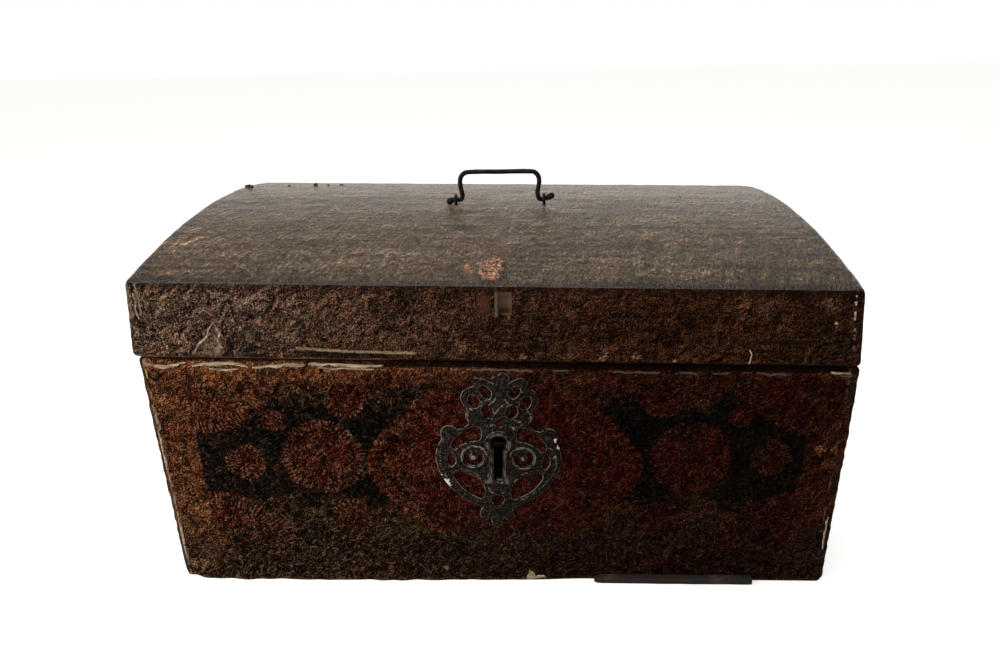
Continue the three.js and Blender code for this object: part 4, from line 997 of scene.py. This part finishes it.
def make_body_hide():
    # the keyhole in the leather: a square for its round, and a narrower slot below
    left, slot_left, slot_right, right = LOCK_X - 6.6, LOCK_X - 4.6, LOCK_X + 3.4, LOCK_X + 6.6
    slot_low, slot_high, top = 85.4, 113.0, 125.8
    foot = 0.35
    xs = stations(BODY_LEFT, BODY_RIGHT, BODY_ROUND, 3.4, (left, slot_left, slot_right, right))
    ys = stations(BODY_FRONT, LID_BACK, BODY_ROUND, 4.0)
    # the rounding starts below the foot, so that the leather runs straight down to it
    zs = stations(-4.2, RIM - FIT, BODY_ROUND, 3.4, (foot, 2.0, 4.2, slot_low, slot_high, top))

    def dropped(axis, end, middle):
        x, _, z = middle
        if z < foot:
            return True
        if axis == 1 and end == 0:
            in_round = left < x < right and slot_high < z < top
            return in_round or slot_left < x < slot_right and slot_low < z < slot_high
        return axis == 2 and past_hem(middle, BODY_LEFT, BODY_RIGHT, BODY_FRONT, 7 + end)

    points, faces = rounded_shell((xs, ys, zs), BODY_ROUND, dropped)
    points = body_place(points)
    normals = normals_of(points, faces)
    x, y, z = points.T
    level = z + FALL * x / HALF
    front = smoothstep(y, -148, -153)
    near_rim = smoothstep(level, RIM - 0.5, RIM - 4)
    free = near_rim * smoothstep(z, 0.4, 4)
    swell = (
        0.4 + 0.3 * ripples(points, (50, 50, 44), 3) + 0.24 * ripples(points, (14, 14, 12), 6)
        + 0.14 * ripples(points, (5, 5, 4), 1)
    )
    # flat behind the hinges, the lock plate and the strip
    behind = behind_hinges(points) * smoothstep(z, 115, 130)
    plate = np.exp(-(((x - LOCK_X) / 52) ** 6 + ((z - 108) / 74) ** 6))
    strip = np.exp(-(((x - 131) / 64) ** 6 + (z / 9) ** 6))
    held = np.maximum(plate, strip) * smoothstep(y, -140, -150)
    swell = np.clip(swell, 0.03, 1.2) * free * (1 - behind) * (1 - held)
    # seams where the front's sheet laps the ends, frayed
    wander = ripples(points, (30, 30, 7), 11) * 1.2
    for at in (-232.9, 233.5):
        swell += 0.6 * hump(x, at + wander, 1.5) * front * free
    # the ends bow out a little, and their corners are chipped
    ends = smoothstep(np.abs(normals[:, 0]), 0.5, 0.95)
    swell += np.where(x > 0, 1.3, 0.8) * ends * smoothstep(y, LID_BACK, LID_BACK - 60) * free
    coarse, fine = chips(points, (3.6, 3.6, 3.2))
    corner = hump(np.minimum(x - BODY_LEFT, BODY_RIGHT - x), 0, 3.5) * front
    swell += corner * (0.5 * coarse + 0.35 * fine) * near_rim
    # at the foot the leather has come away from the boards and stands out, most of all at the left
    lip = smoothstep(z, 8.5, 0.4) * smoothstep(x, -232, -218) * smoothstep(x, 66, 30)
    ragged = 1 + 0.5 * ripples(points, (13, 13, 40), 17)
    swell += lip * (1.6 + 2.6 * smoothstep(x, 60, -120)) * ragged * front
    hide = mesh_piece("body_hide", points + normals * swell[:, None], faces, BODY_SKIN)
    thicken(hide, HIDE)
    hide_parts("front_leather", "back_leather", "left_leather", "right_leather")
    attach(hide, "chest")


make_lid_hide()
make_body_hide()


# Torn strips of leather that hang in the joint at the left, and shreds on the corners and at the tear
SHRED_COLUMNS, SHRED_STEP, SHRED_THICK = 5, 1.3, 0.5


def make_shred(name, line, width, lift, body, shift, away=(0, 0, -1)):
    # line is the fixed edge, as (x, y, z) places; the free edge lies width beyond it and lift off the face
    line = np.array(line, float)
    run = run_along(line)
    steps = max(6, round(run[-1] / SHRED_STEP))
    points, faces = [], []
    for i in range(steps + 1):
        u = i / steps
        along = u * run[-1]
        base = Vector([np.interp(along, run, line[:, k]) for k in range(3)])
        base.z += 0.5 * noise_at(along / 5, shift, 21)
        taper = min(1, 7 * u, 7 * (1 - u)) ** 0.6
        uneven = 0.75 + 0.6 * noise_at(along / 7, shift, 1.3) + 0.4 * noise_at(along / 2, shift, 4)
        reach = max(0.35, width * taper * uneven)
        rise = lift * (0.75 + 0.8 * noise_at(along / 9, shift, 9))
        for j in range(SHRED_COLUMNS):
            v = j / (SHRED_COLUMNS - 1)
            spot = base + Vector(away) * (reach * v)
            spot.y -= rise * math.sin(v * 2.4)
            points.append(tuple(spot))
    for i, j in itertools.product(range(steps), range(SHRED_COLUMNS - 1)):
        a = i * SHRED_COLUMNS + j
        faces.append((a, a + 1, a + SHRED_COLUMNS + 1, a + SHRED_COLUMNS))
    shred = mesh_piece(name, points, faces, TORN)
    thicken(shred, SHRED_THICK, 0.0)
    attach(shred, body)


JOINT_SHREDS = (
    ((-234, 181.2), (-226, 179.4), (-219.6, 178.8), (-212, 179.6)),
    ((-219.6, 178.4), (-214.6, 179.6), (-208.7, 180.9), (-205, 181.4)),
    ((-201.2, 178.7), (-191.7, 180.9), (-175.9, 181.2), (-166.8, 180.2), (-162.7, 178.0)),
    ((-160.2, 177.6), (-144.4, 179.4), (-129.6, 180.0), (-124, 179.2)),
    ((-121.8, 180.2), (-110, 179.9), (-99.3, 179.6), (-85, 178.8), (-71.7, 178.6)),
    ((-116, 177.0), (-104, 176.4), (-92, 176.6), (-78, 175.6)),
    ((-190, 176.4), (-178, 175.8), (-170, 176.2)),
    ((222, 173.4), (228, 172.8), (235, 172.4)),
)
# start, end, the way to the free edge, width, lift
CORNER_SHREDS = (
    ((-235.3, -155.4, 20), (-235.3, -155.4, 52), (0.9, 0, 0), 2.6, 0.9),
    ((-235.4, -155.4, 96), (-235.4, -155.4, 128), (0.9, 0, 0), 2.2, 0.8),
    ((237.4, -155.4, 30), (237.4, -155.4, 58), (-0.9, 0, 0), 2.0, 0.7),
    ((-150, -155.7, 1.4), (-112, -155.7, 1.4), (0, 0, 1), 1.8, 0.7),
    ((16, -155.7, 1.0), (38, -155.7, 1.0), (0, 0, 1), 4.2, 1.2),
    ((-30, -155.7, 1.2), (-6, -155.7, 1.2), (0, 0, 1), 2.0, 0.8),
)
# y, the line in the front's plane, the way to the free edge, width, lift
LID_SHREDS = (
    (
        -160.4, ((-179.6, 211.4), (-183.9, 206.8), (-185.4, 201.9), (-191.2, 197.6), (-195.6, 190.8)),
        (0.8, 0, -0.58), 1.1, 1.2,
    ),
    (-160.2, ((-177.9, 208.0), (-175.4, 203.2), (-178.4, 198.4), (-175.9, 193.0)), (-1, 0, 0.2), 1.1, 1.0),
    (-159.7, ((-228.9, 232.0), (-227.4, 227.0), (-229.3, 220.5), (-228.0, 214.0)), (-1, 0, 0), 1.0, 0.8),
)
for number, line in enumerate(JOINT_SHREDS, 1):
    heavy = 2.3 if number < 6 else 1.1
    places = [(x, -155.9, z) for x, z in line]
    make_shred(f"joint_shred_{number}", places, heavy, heavy * 0.8, "chest", number * 3.7)
for number, (start, end, away, width, lift) in enumerate(CORNER_SHREDS, 1):
    make_shred(f"corner_shred_{number}", (start, end), width, lift, "chest", number * 5.1 + 60, away)
for number, (y, line, away, width, lift) in enumerate(LID_SHREDS, 1):
    places = [(x, y, z) for x, z in line]
    make_shred(f"lid_shred_{number}", places, width, lift, "lid", number * 4.3 + 90, away)


# Dried lumps on the top, as (x, y, radius, height)
LUMPS = (
    (-223.3, 49.2, 2.6, 2.6), (-228.7, 56.5, 1.8, 1.9), (-169.4, 68.8, 2.1, 2.4),
    (-192, 62, 1.4, 0.9), (-147, 74, 1.5, 1.0), (-158, 70, 1.1, 0.9),
)
CRUSTS = (
    (2.5, -151, 3.2, 1.2), (-4.0, -146, 2.6, 1.0), (6.5, -140, 2.4, 1.1), (-6.5, -133, 2.2, 0.9),
    (1.5, -130, 2.8, 0.9), (8.0, -130.5, 1.7, 0.8), (0.5, -141, 2.6, 0.8), (-14.0, -139, 2.4, 1.0),
    (-11.5, -145, 1.4, 0.7), (3.5, -124, 1.6, 0.7),
)


def make_lump(number, x, y, radius, tall, material):
    shape = bmesh.new()
    bmesh.ops.create_icosphere(shape, subdivisions=3, radius=1)
    middle = Vector((x, y, lid_top(x, y) + 0.5))
    for vertex in shape.verts:
        p = vertex.co.copy()
        swell = 1 + 0.45 * noise.noise(p * 1.3 + Vector((number, 0, 0))) + 0.2 * noise.noise(p * 3.1)
        vertex.co = Vector((p.x * radius * swell, p.y * radius * 0.8 * swell, p.z * tall * swell)) + middle
    bmesh.ops.scale(shape, vec=(MM, MM, MM), verts=shape.verts)
    mesh = bpy.data.meshes.new(f"lump_{number}")
    shape.to_mesh(mesh)
    shape.free()
    mesh.materials.append(material)
    shade_smooth(mesh)
    piece = new_piece(f"lump_{number}", mesh)
    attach(piece, "lid")


for number, lump in enumerate((*LUMPS, *CRUSTS), 1):
    make_lump(number, *lump, LUMP if number <= len(LUMPS) else CRUST)


# Ironwork of the lock
def curve(points, closed=False, steps=6):
    # a smooth line through points
    pts = np.array(points, float)
    n = len(pts)
    out = []
    for i in range(n if closed else n - 1):
        near = [(i + k) % n if closed else min(max(i + k, 0), n - 1) for k in (-1, 0, 1, 2)]
        p0, p1, p2, p3 = pts[near]
        v0, v1 = (p2 - p0) / 2, (p3 - p1) / 2
        for t in np.arange(steps) / steps:
            bend = (2 * p1 - 2 * p2 + v0 + v1) * t ** 3 + (3 * p2 - 3 * p1 - 2 * v0 - v1) * t ** 2
            out.append(bend + v0 * t + p1)
    if not closed:
        out.append(pts[-1])
    return np.array(out)


def resampled(loop, spacing):
    closed = np.vstack([loop, loop[:1]])
    lengths = run_along(closed)
    count = max(6, round(lengths[-1] / spacing))
    at = np.arange(count) / count * lengths[-1]
    return np.stack([np.interp(at, lengths, closed[:, k]) for k in (0, 1)], 1)


def edge_distance(points, loops, batch=2000):
    # distance from the nearest edge, negative outside the sheet
    ax, ay = (np.concatenate([loop[:, k] for loop in loops]) for k in (0, 1))
    bx, by = (np.concatenate([np.roll(loop[:, k], -1) for loop in loops]) for k in (0, 1))
    dx, dy = bx - ax, by - ay
    out = np.zeros(len(points))
    for start in range(0, len(points), batch):
        px, py = points[start:start + batch, 0, None], points[start:start + batch, 1, None]
        t = np.clip(((px - ax) * dx + (py - ay) * dy) / np.maximum(dx * dx + dy * dy, 1e-12), 0, 1)
        near = np.hypot(px - ax - t * dx, py - ay - t * dy).min(1)
        crosses = ((ay > py) != (by > py)) & (px < dx * (py - ay) / np.where(dy == 0, 1e-12, dy) + ax)
        out[start:start + batch] = np.where(crosses.sum(1) % 2 == 1, near, -near)
    return out


def relief_sheet(name, loops, back, height, spacing, rings, material):
    # a pierced sheet: the first loop is its edge, the others are its holes; height is over the plane y = back
    loops = [resampled(loop, spacing) for loop in loops]
    edge = np.vstack(loops)
    inner = []
    for ring, loop in itertools.product(rings, loops):
        along = np.roll(loop, -1, 0) - np.roll(loop, 1, 0)
        turned = np.stack([-along[:, 1], along[:, 0]], 1)
        across = turned / np.maximum(np.linalg.norm(along, axis=1, keepdims=True), 1e-9)
        for sign in (1, -1):
            moved = loop + across * ring * sign
            inner.append(moved[np.abs(edge_distance(moved, loops) - ring) < 0.06])
    low, high = edge.min(0), edge.max(0)
    step = spacing * 1.7
    rows = enumerate(np.arange(low[1], high[1], step * 0.87))
    grid = np.array([
        (x + (step / 2 if row % 2 else 0), y) for row, y in rows for x in np.arange(low[0], high[0], step)
    ])
    inner.append(grid[edge_distance(grid, loops) > rings[-1] + spacing * 0.6])
    edges, start = [], 0
    for loop in loops:
        n = len(loop)
        edges += [(start + i, start + (i + 1) % n) for i in range(n)]
        start += n
    cloud = [Vector(p) for p in np.vstack([edge, *inner])]
    verts, _, faces, *_ = delaunay_2d_cdt(cloud, edges, [], 0, 1e-5)
    flat = np.array([tuple(v) for v in verts])
    middles = np.array([flat[list(face)].mean(0) for face in faces])
    kept = [list(face) for face, d in zip(faces, edge_distance(middles, loops)) if d > 0]
    tall = height(np.maximum(edge_distance(flat, loops), 0), flat)
    points = [(x, back - h, z) for (x, z), h in zip(flat, tall)]
    # walls down to the back plane, along every edge that belongs to one face
    sides = dict.fromkeys(pair for face in kept for pair in zip(face, face[1:] + face[:1]))
    border = [(a, b) for a, b in sides if (b, a) not in sides]
    under = {}
    for v in itertools.chain(*border):
        if v not in under:
            under[v] = len(points)
            points.append((flat[v][0], back, flat[v][1]))
    kept += [[b, a, under[a], under[b]] for a, b in border]
    return mesh_piece(name, points, kept, material)


# The lock plate's drawing, in mm from the middle of the keyhole's round: the right half of the edge and
# of the holes, which the left half mirrors
PLATE_EDGE = (
    ((0, 54.5), (4.5, 53), (6.5, 49), (5, 45.5)),
    ((5, 45.5), (9, 48.5), (14.5, 50.5), (18.5, 47.5), (18, 43)),
    ((18, 43), (23.5, 41), (26.5, 36), (25.5, 30.5), (22.5, 26), (23, 20), (21, 14.5)),
    ((21, 14.5), (24.5, 10.8), (29, 9.8)),
    ((29, 9.8), (33, 12.5), (38, 11.5), (40.5, 7), (39.5, 2)),
    ((39.5, 2), (42.8, -5), (44, -13), (42.2, -23), (37.5, -33), (30, -42), (20, -49.5), (10.5, -54)),
    ((10.5, -54), (12.5, -58), (11.5, -63), (7.5, -65), (4.5, -62)),
    ((4.5, -62), (4, -67), (0, -73)),
)
PLATE_HOLES = (
    ((5.5, 38.5), (9.5, 43.5), (13.5, 43), (13, 38), (9, 34.5)),
    ((14, 33.5), (19.5, 37), (21.5, 32.5), (18.5, 27), (14.5, 27.5)),
    ((5, 27), (10, 29.5), (12.5, 24.5), (9, 19.5), (4.5, 21)),
    ((13, 11), (20, 11.5), (27.5, 5.5), (33, -2), (31, -6.5), (25.5, -2.5), (19, 0.5), (13, 2)),
    ((33.5, -8.5), (36, -14), (33.5, -20.5), (30, -17), (31, -12)),
    ((9.5, -39), (13, -31), (20, -26.5), (28, -24), (31.5, -27.5), (26, -37), (18, -43.5), (11, -46.5)),
)
MIDDLE_HOLES = (
    ((0, -43.5), (4.5, -45), (3.5, -50), (0, -52.5), (-3.5, -50), (-4.5, -45)),
    ((0, 18.6), (3.4, 15), (0, 12.6), (-3.4, 15)),
)
PLATE_NAILS = ((0, 38.5), (-34.2, 5.6), (34.2, 5.6), (0, -60))
GUARD_FLARE = ((0, 3), (0.12, 2), (0.45, 1.25), (1, 0.9), (0.85, 0))
VOLUTE, VOLUTE_OUTER, VOLUTE_INNER, VOLUTE_STEPS = (17.5, -12), 7, 2.8, 16
SPIRAL_START, SPIRAL_DROP, SPIRAL_STEPS = 9.6, 2.4, 18


def mirrored(points, side):
    return [(u * side, v) for u, v in points]


def spiral(turns, radii):
    return [(VOLUTE[0] + r * math.cos(a), VOLUTE[1] + r * math.sin(a)) for a, r in zip(turns, radii)]


def volute_hole():
    turns = np.radians(np.linspace(-205, 65, VOLUTE_STEPS))
    outer = spiral(turns, [VOLUTE_OUTER] * VOLUTE_STEPS)
    return outer + spiral(turns[::-1], [VOLUTE_INNER] * VOLUTE_STEPS)


def slotted(round_radius, side):
    # a round with its foot open for a slot
    meet = math.asin(side / round_radius)
    turns = np.linspace(-math.pi / 2 + meet, 1.5 * math.pi - meet, 28)
    return [(round_radius * math.cos(a), round_radius * math.sin(a)) for a in turns]


KEYHOLE = [*slotted(KEY_ROUND, KEY_SLOT), (-KEY_SLOT, -KEY_DROP), (KEY_SLOT, -KEY_DROP)]
SPIRAL = spiral(
    np.radians(np.linspace(170, -190, SPIRAL_STEPS)),
    [SPIRAL_START - SPIRAL_DROP * k / (SPIRAL_STEPS - 1) for k in range(SPIRAL_STEPS)],
)
# raised lines: (line in the drawing, height, half width)
CHASED = (
    (((-29, 23), (-22, 25), (-14, 31), (-5, 35)), 0.55, 0.6),
    (((-15, 50), (-9, 49), (-2, 52), (3, 56)), 0.5, 0.55),
    (((-21, 15), (-21.5, 23), (-15.5, 28), (-6.5, 30.5), (-3, 35)), 0.55, 0.6),
    (((21, 15), (21.5, 23), (15.5, 28), (6.5, 30.5), (3, 35)), 0.5, 0.6),
    (((-5.5, 13), (-4.8, 20), (-1, 26), (3.3, 30), (7.5, 26), (10.5, 19), (16.5, 16), (10, 12)), 0.55, 0.6),
    (((-13, 9), (-8, 13.5), (0, 15), (8, 13.5), (13, 9)), 0.45, 0.5),
    (((-28, -21), (-20, -23.5), (-14, -27), (-11, -34)), 0.5, 0.6),
    (((28, -21), (20, -23.5), (14, -27), (11, -34)), 0.5, 0.6),
    (((-37, 4), (-40.5, -6), (-40.5, -18), (-36, -30)), 0.45, 0.5),
    (((-7, -35), (-5.5, -40), (0, -41.5), (8, -40), (18, -46)), 0.5, 0.55),
    (((40, -8), (40.5, -18), (36, -28), (28, -38), (18, -46)), 0.55, 0.6),
    (((12, 46), (16, 44), (15, 40), (11.5, 41)), 0.45, 0.5),
    (((-12, 46), (-16, 44), (-15, 40), (-11.5, 41)), 0.45, 0.5),
    (((30, -4), (36, -3), (39.5, -8), (36.5, -12)), 0.5, 0.5),
    (SPIRAL, 0.6, 0.75),
    (mirrored(SPIRAL, -1), 0.6, 0.75),
)


def plate_height(depth, flat):
    x, z = flat.T

    def from_place(u, v):
        cx, cz = drawn([(u, v)])[0]
        return np.hypot(x - cx, z - cz)

    tall = 0.95 + 0.45 * dome(depth / 0.8)
    tall += 0.34 * hump(depth, 1.15, 0.5)
    tall += 0.3 * smoothstep(depth, 1.6, 4.2)
    for line, rise, wide in CHASED:
        d, _ = line_distance(x, z, [tuple(p) for p in drawn(curve(line, steps=5))])
        tall += rise * hump(d, 0, wide) * np.minimum(depth / 0.6, 1)
    # a boss in the middle of each spiral
    for side in (1, -1):
        d = from_place(VOLUTE[0] * side, VOLUTE[1])
        tall += 0.75 * np.sqrt(np.maximum(0, 1 - (d / 1.9) ** 2))
    # flat under the nails' heads
    for u, v in PLATE_NAILS:
        d = from_place(u, v)
        tall = np.where(d < 4.2, np.minimum(tall, 1.4 + 0.4 * smoothstep(d, 2.6, 4.2)), tall)
    # hammered by hand
    blows = [0.12 * noise_at(px / 5, pz / 5, 2) + 0.05 * noise_at(px / 1.8, pz / 1.8, 7) for px, pz in flat]
    return tall + np.array(blows) * np.minimum(1, depth)


def guard_height(depth, flat):
    blows = [0.1 * noise_at(x / 3, z / 3, 5) for x, z in flat]
    return 0.7 + 1.3 * dome(depth / 1.3) + np.array(blows)


def make_lock_plate():
    right = np.vstack([curve(run)[:-1] for run in PLATE_EDGE])
    left = np.array(mirrored(right[1:], -1))[::-1]
    loops = [np.vstack([right, [PLATE_EDGE[-1][-1]], left])]
    for side in (1, -1):
        loops += [curve(mirrored(hole, side), True) for hole in PLATE_HOLES]
        loops.append(mirrored(volute_hole(), side))
    loops += [curve(hole, True) for hole in MIDDLE_HOLES]
    loops = [drawn(loop) for loop in (*loops, KEYHOLE)]
    plate = relief_sheet(
        "lock_plate_worn", loops, BODY_FRONT - FIT, plate_height, 0.75, (0.4, 0.85, 1.4), PLATE_IRON,
    )
    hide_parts("lock_plate")
    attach(plate, "chest")
    # the raised guard round the keyhole, with a flared foot
    side = KEY_SLOT + 2.8
    foot = -KEY_DROP - 3.6
    flare = [(side + u * 4, foot + v * 4) for u, v in GUARD_FLARE]
    edge = [*slotted(KEY_ROUND + 3.8, side), *mirrored(flare, -1), *flare[::-1]]
    loops = [drawn(edge), drawn(KEYHOLE)]
    guard = relief_sheet(
        "keyhole_guard", loops, PLATE_FACE - 0.05, guard_height, 0.6, (0.25, 0.6, 1.0), PLATE_IRON,
    )
    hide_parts("keyhole_collar")
    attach(guard, "chest")


make_lock_plate()


# The handle and its eyes
def make_rod(name, line, radii, material, sides, rough):
    # an iron rod along a line, round, with a radius for each point
    line = np.array(line, float)
    along = np.gradient(line, axis=0)
    along /= np.linalg.norm(along, axis=1, keepdims=True)
    u = Vector(along[0]).orthogonal().normalized()
    points, faces = [], []
    for p, t, r in zip(line, along, radii):
        p, t = Vector(p), Vector(t)
        u = (u - t * u.dot(t)).normalized()
        w = t.cross(u)
        for k in range(sides):
            a = 2 * math.pi * k / sides
            out = u * math.cos(a) + w * math.sin(a)
            points.append(tuple(p + out * r * (1 + rough * noise.noise(p / 3.2 + out))))
    for i, k in itertools.product(range(len(line) - 1), range(sides)):
        a, b = i * sides + k, i * sides + (k + 1) % sides
        faces.append((a, b, b + sides, a + sides))
    faces.append(tuple(range(sides))[::-1])
    faces.append(tuple((len(line) - 1) * sides + k for k in range(sides)))
    return mesh_piece(name, points, faces, material)


# the bail, as (x, z) from the middle between its pivots, from left to right
BAIL = (
    (-42.6, -1.5), (-40.5, -1.4), (-38.0, -0.6), (-35.0, -0.1), (-32.6, -0.5), (-30.6, 0.5), (-29.7, 3.0),
    (-30.1, 6.0), (-30.9, 9.8), (-31.3, 14.0), (-30.6, 17.4), (-28.4, 20.2), (-24.6, 21.5), (-12, 21.7),
    (0, 21.55), (12, 21.7), (25.0, 21.5), (28.6, 20.1), (30.7, 17.2), (31.1, 13.5), (30.6, 9.5), (29.9, 6.0),
    (30.0, 3.0), (31.0, 0.4), (32.8, -0.6), (35.0, -0.1), (37.6, 0.7), (40.6, 2.0), (43.2, 3.1),
)
BAIL_RADIUS, KNOB_PLACE, KNOB_WIDTH, KNOB_RISE, END_ROUND = 1.85, 2.8, 2.8, 0.6, 1.7
EYE_RING, EYE_WIRE, EYE_LEG = 3.4, 1.1, 0.95


def make_handle():
    path = curve(BAIL)
    line = [(HANDLE_X + x, HANDLE_Y, PIVOT_Z + z) for x, z in path]
    run = run_along(path)
    radii = []
    for at in run:
        near = min(at, run[-1] - at)
        # each end is upset to a blunt knob
        knob = hump(near, KNOB_PLACE, KNOB_WIDTH) * KNOB_RISE
        blunt = math.sqrt(max(0.02, 1 - (1 - min(near / END_ROUND, 1)) ** 2))
        radii.append((BAIL_RADIUS + 0.08 * noise_at(at / 6, 3, 5) + knob) * blunt)
    handle = make_rod("bail_handle_worn", line, radii, BLACK_IRON, 14, 0.05)
    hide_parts("bail_handle")
    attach(handle, "handle")
    for side, x in (("left", HANDLE_X - EYE_REACH), ("right", HANDLE_X + EYE_REACH)):
        # a strip of wire bent round the handle, both legs down through the lid
        turns = np.radians(np.linspace(-70, 250, 26))
        ring = [(x, HANDLE_Y + EYE_RING * math.cos(a), PIVOT_Z + EYE_RING * math.sin(a)) for a in turns]
        leg = [(x, HANDLE_Y + EYE_LEG, PIVOT_Z - drop) for drop in (12, 9, 6, 4.2)]
        other = [(x, 2 * HANDLE_Y - y, z) for x, y, z in leg[::-1]]
        wire = [*leg, *ring, *other]
        eye = make_rod(f"handle_eye_{side}_worn", wire, [EYE_WIRE] * len(wire), BLACK_IRON, 10, 0.06)
        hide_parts(f"handle_eye_{side}")
        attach(eye, "lid")


make_handle()


# The strip of wood nailed under the front at the right
def make_strip():
    low, high = ([c * 1000 for c in corner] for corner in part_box("base_strip"))
    edge, slope, cut_length, slant_length = 0.7, 0.35, 7, 5
    axes = [stations(low[k], high[k], edge, step) for k, step in enumerate((2.4, 1.6, 1.6))]
    points, faces = rounded_shell(axes, edge, lambda *_: False)
    x, y, z = points.T
    worn = 0.25 * ripples(points, (14, 3, 3), 5) * smoothstep(y, high[1] - 0.5, low[1])
    # the left end is cut aslant
    cut = z - smoothstep(x, low[0] + cut_length, low[0]) * (z - low[2]) * slope
    slant = low[2] + (low[0] + slant_length - x) * slope
    points[:, 2] = np.where(x < low[0] + slant_length, np.maximum(cut, slant), cut)
    points[:, 1] += worn
    strip = mesh_piece("base_strip_worn", points, faces, STRIP_WOOD)
    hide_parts("base_strip")
    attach(strip, "chest")


make_strip()


# Forged and sawn pieces of the model with their edges worn round
def wear_edges(node, width, material, body):
    source = frame["nodes"][node]
    mesh = source.data.copy()
    mesh.transform(source.matrix_world)
    shape = bmesh.new()
    shape.from_mesh(mesh)
    bmesh.ops.remove_doubles(shape, verts=shape.verts, dist=1e-6)
    bmesh.ops.dissolve_limit(shape, angle_limit=math.radians(2), verts=shape.verts, edges=shape.edges)
    shape.to_mesh(mesh)
    shape.free()
    mesh.materials.clear()
    mesh.materials.append(material)
    piece = new_piece(f"{node}_worn", mesh)
    bevel = piece.modifiers.new("worn", "BEVEL")
    bevel.width = width * MM
    bevel.segments = 2
    bevel.limit_method = "ANGLE"
    bevel.angle_limit = math.radians(40)
    apply_modifiers(piece)
    shade_smooth(piece.data)
    corners = piece.modifiers.new("even", "WEIGHTED_NORMAL")
    corners.keep_sharp = False
    apply_modifiers(piece)
    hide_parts(node)
    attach(piece, body)


for leaf, body in (("body_leaf", "chest"), ("lid_leaf", "lid")):
    for side in ("left", "right"):
        wear_edges(f"hinge_{side}_{leaf}", 0.35, BLACK_IRON, body)
wear_edges("lid_catch", 0.3, LOCK_IRON, "lid")

# CAD pieces that keep their shape
FINISHES = {
    "wood": WOOD, "dark_wood": STRIP_WOOD, "paper": PAPER, "plate_iron": PLATE_IRON, "iron": BLACK_IRON,
    "lid_leather": LID_SKIN, "body_leather": BODY_SKIN,
}
INNER = ("lock_case", "lock_bolt", "bolt_", "key_ward", "lid_catch", "catch_nail")
for row in frame["record"]["subparts"]:
    node = frame["nodes"][row["node"]]
    finish = LOCK_IRON if row["node"].startswith(INNER) else FINISHES[row["material_slot"]]
    node.data.materials.clear()
    node.data.materials.append(finish)

scene = bpy.context.scene
scene.view_settings.view_transform = "Standard"
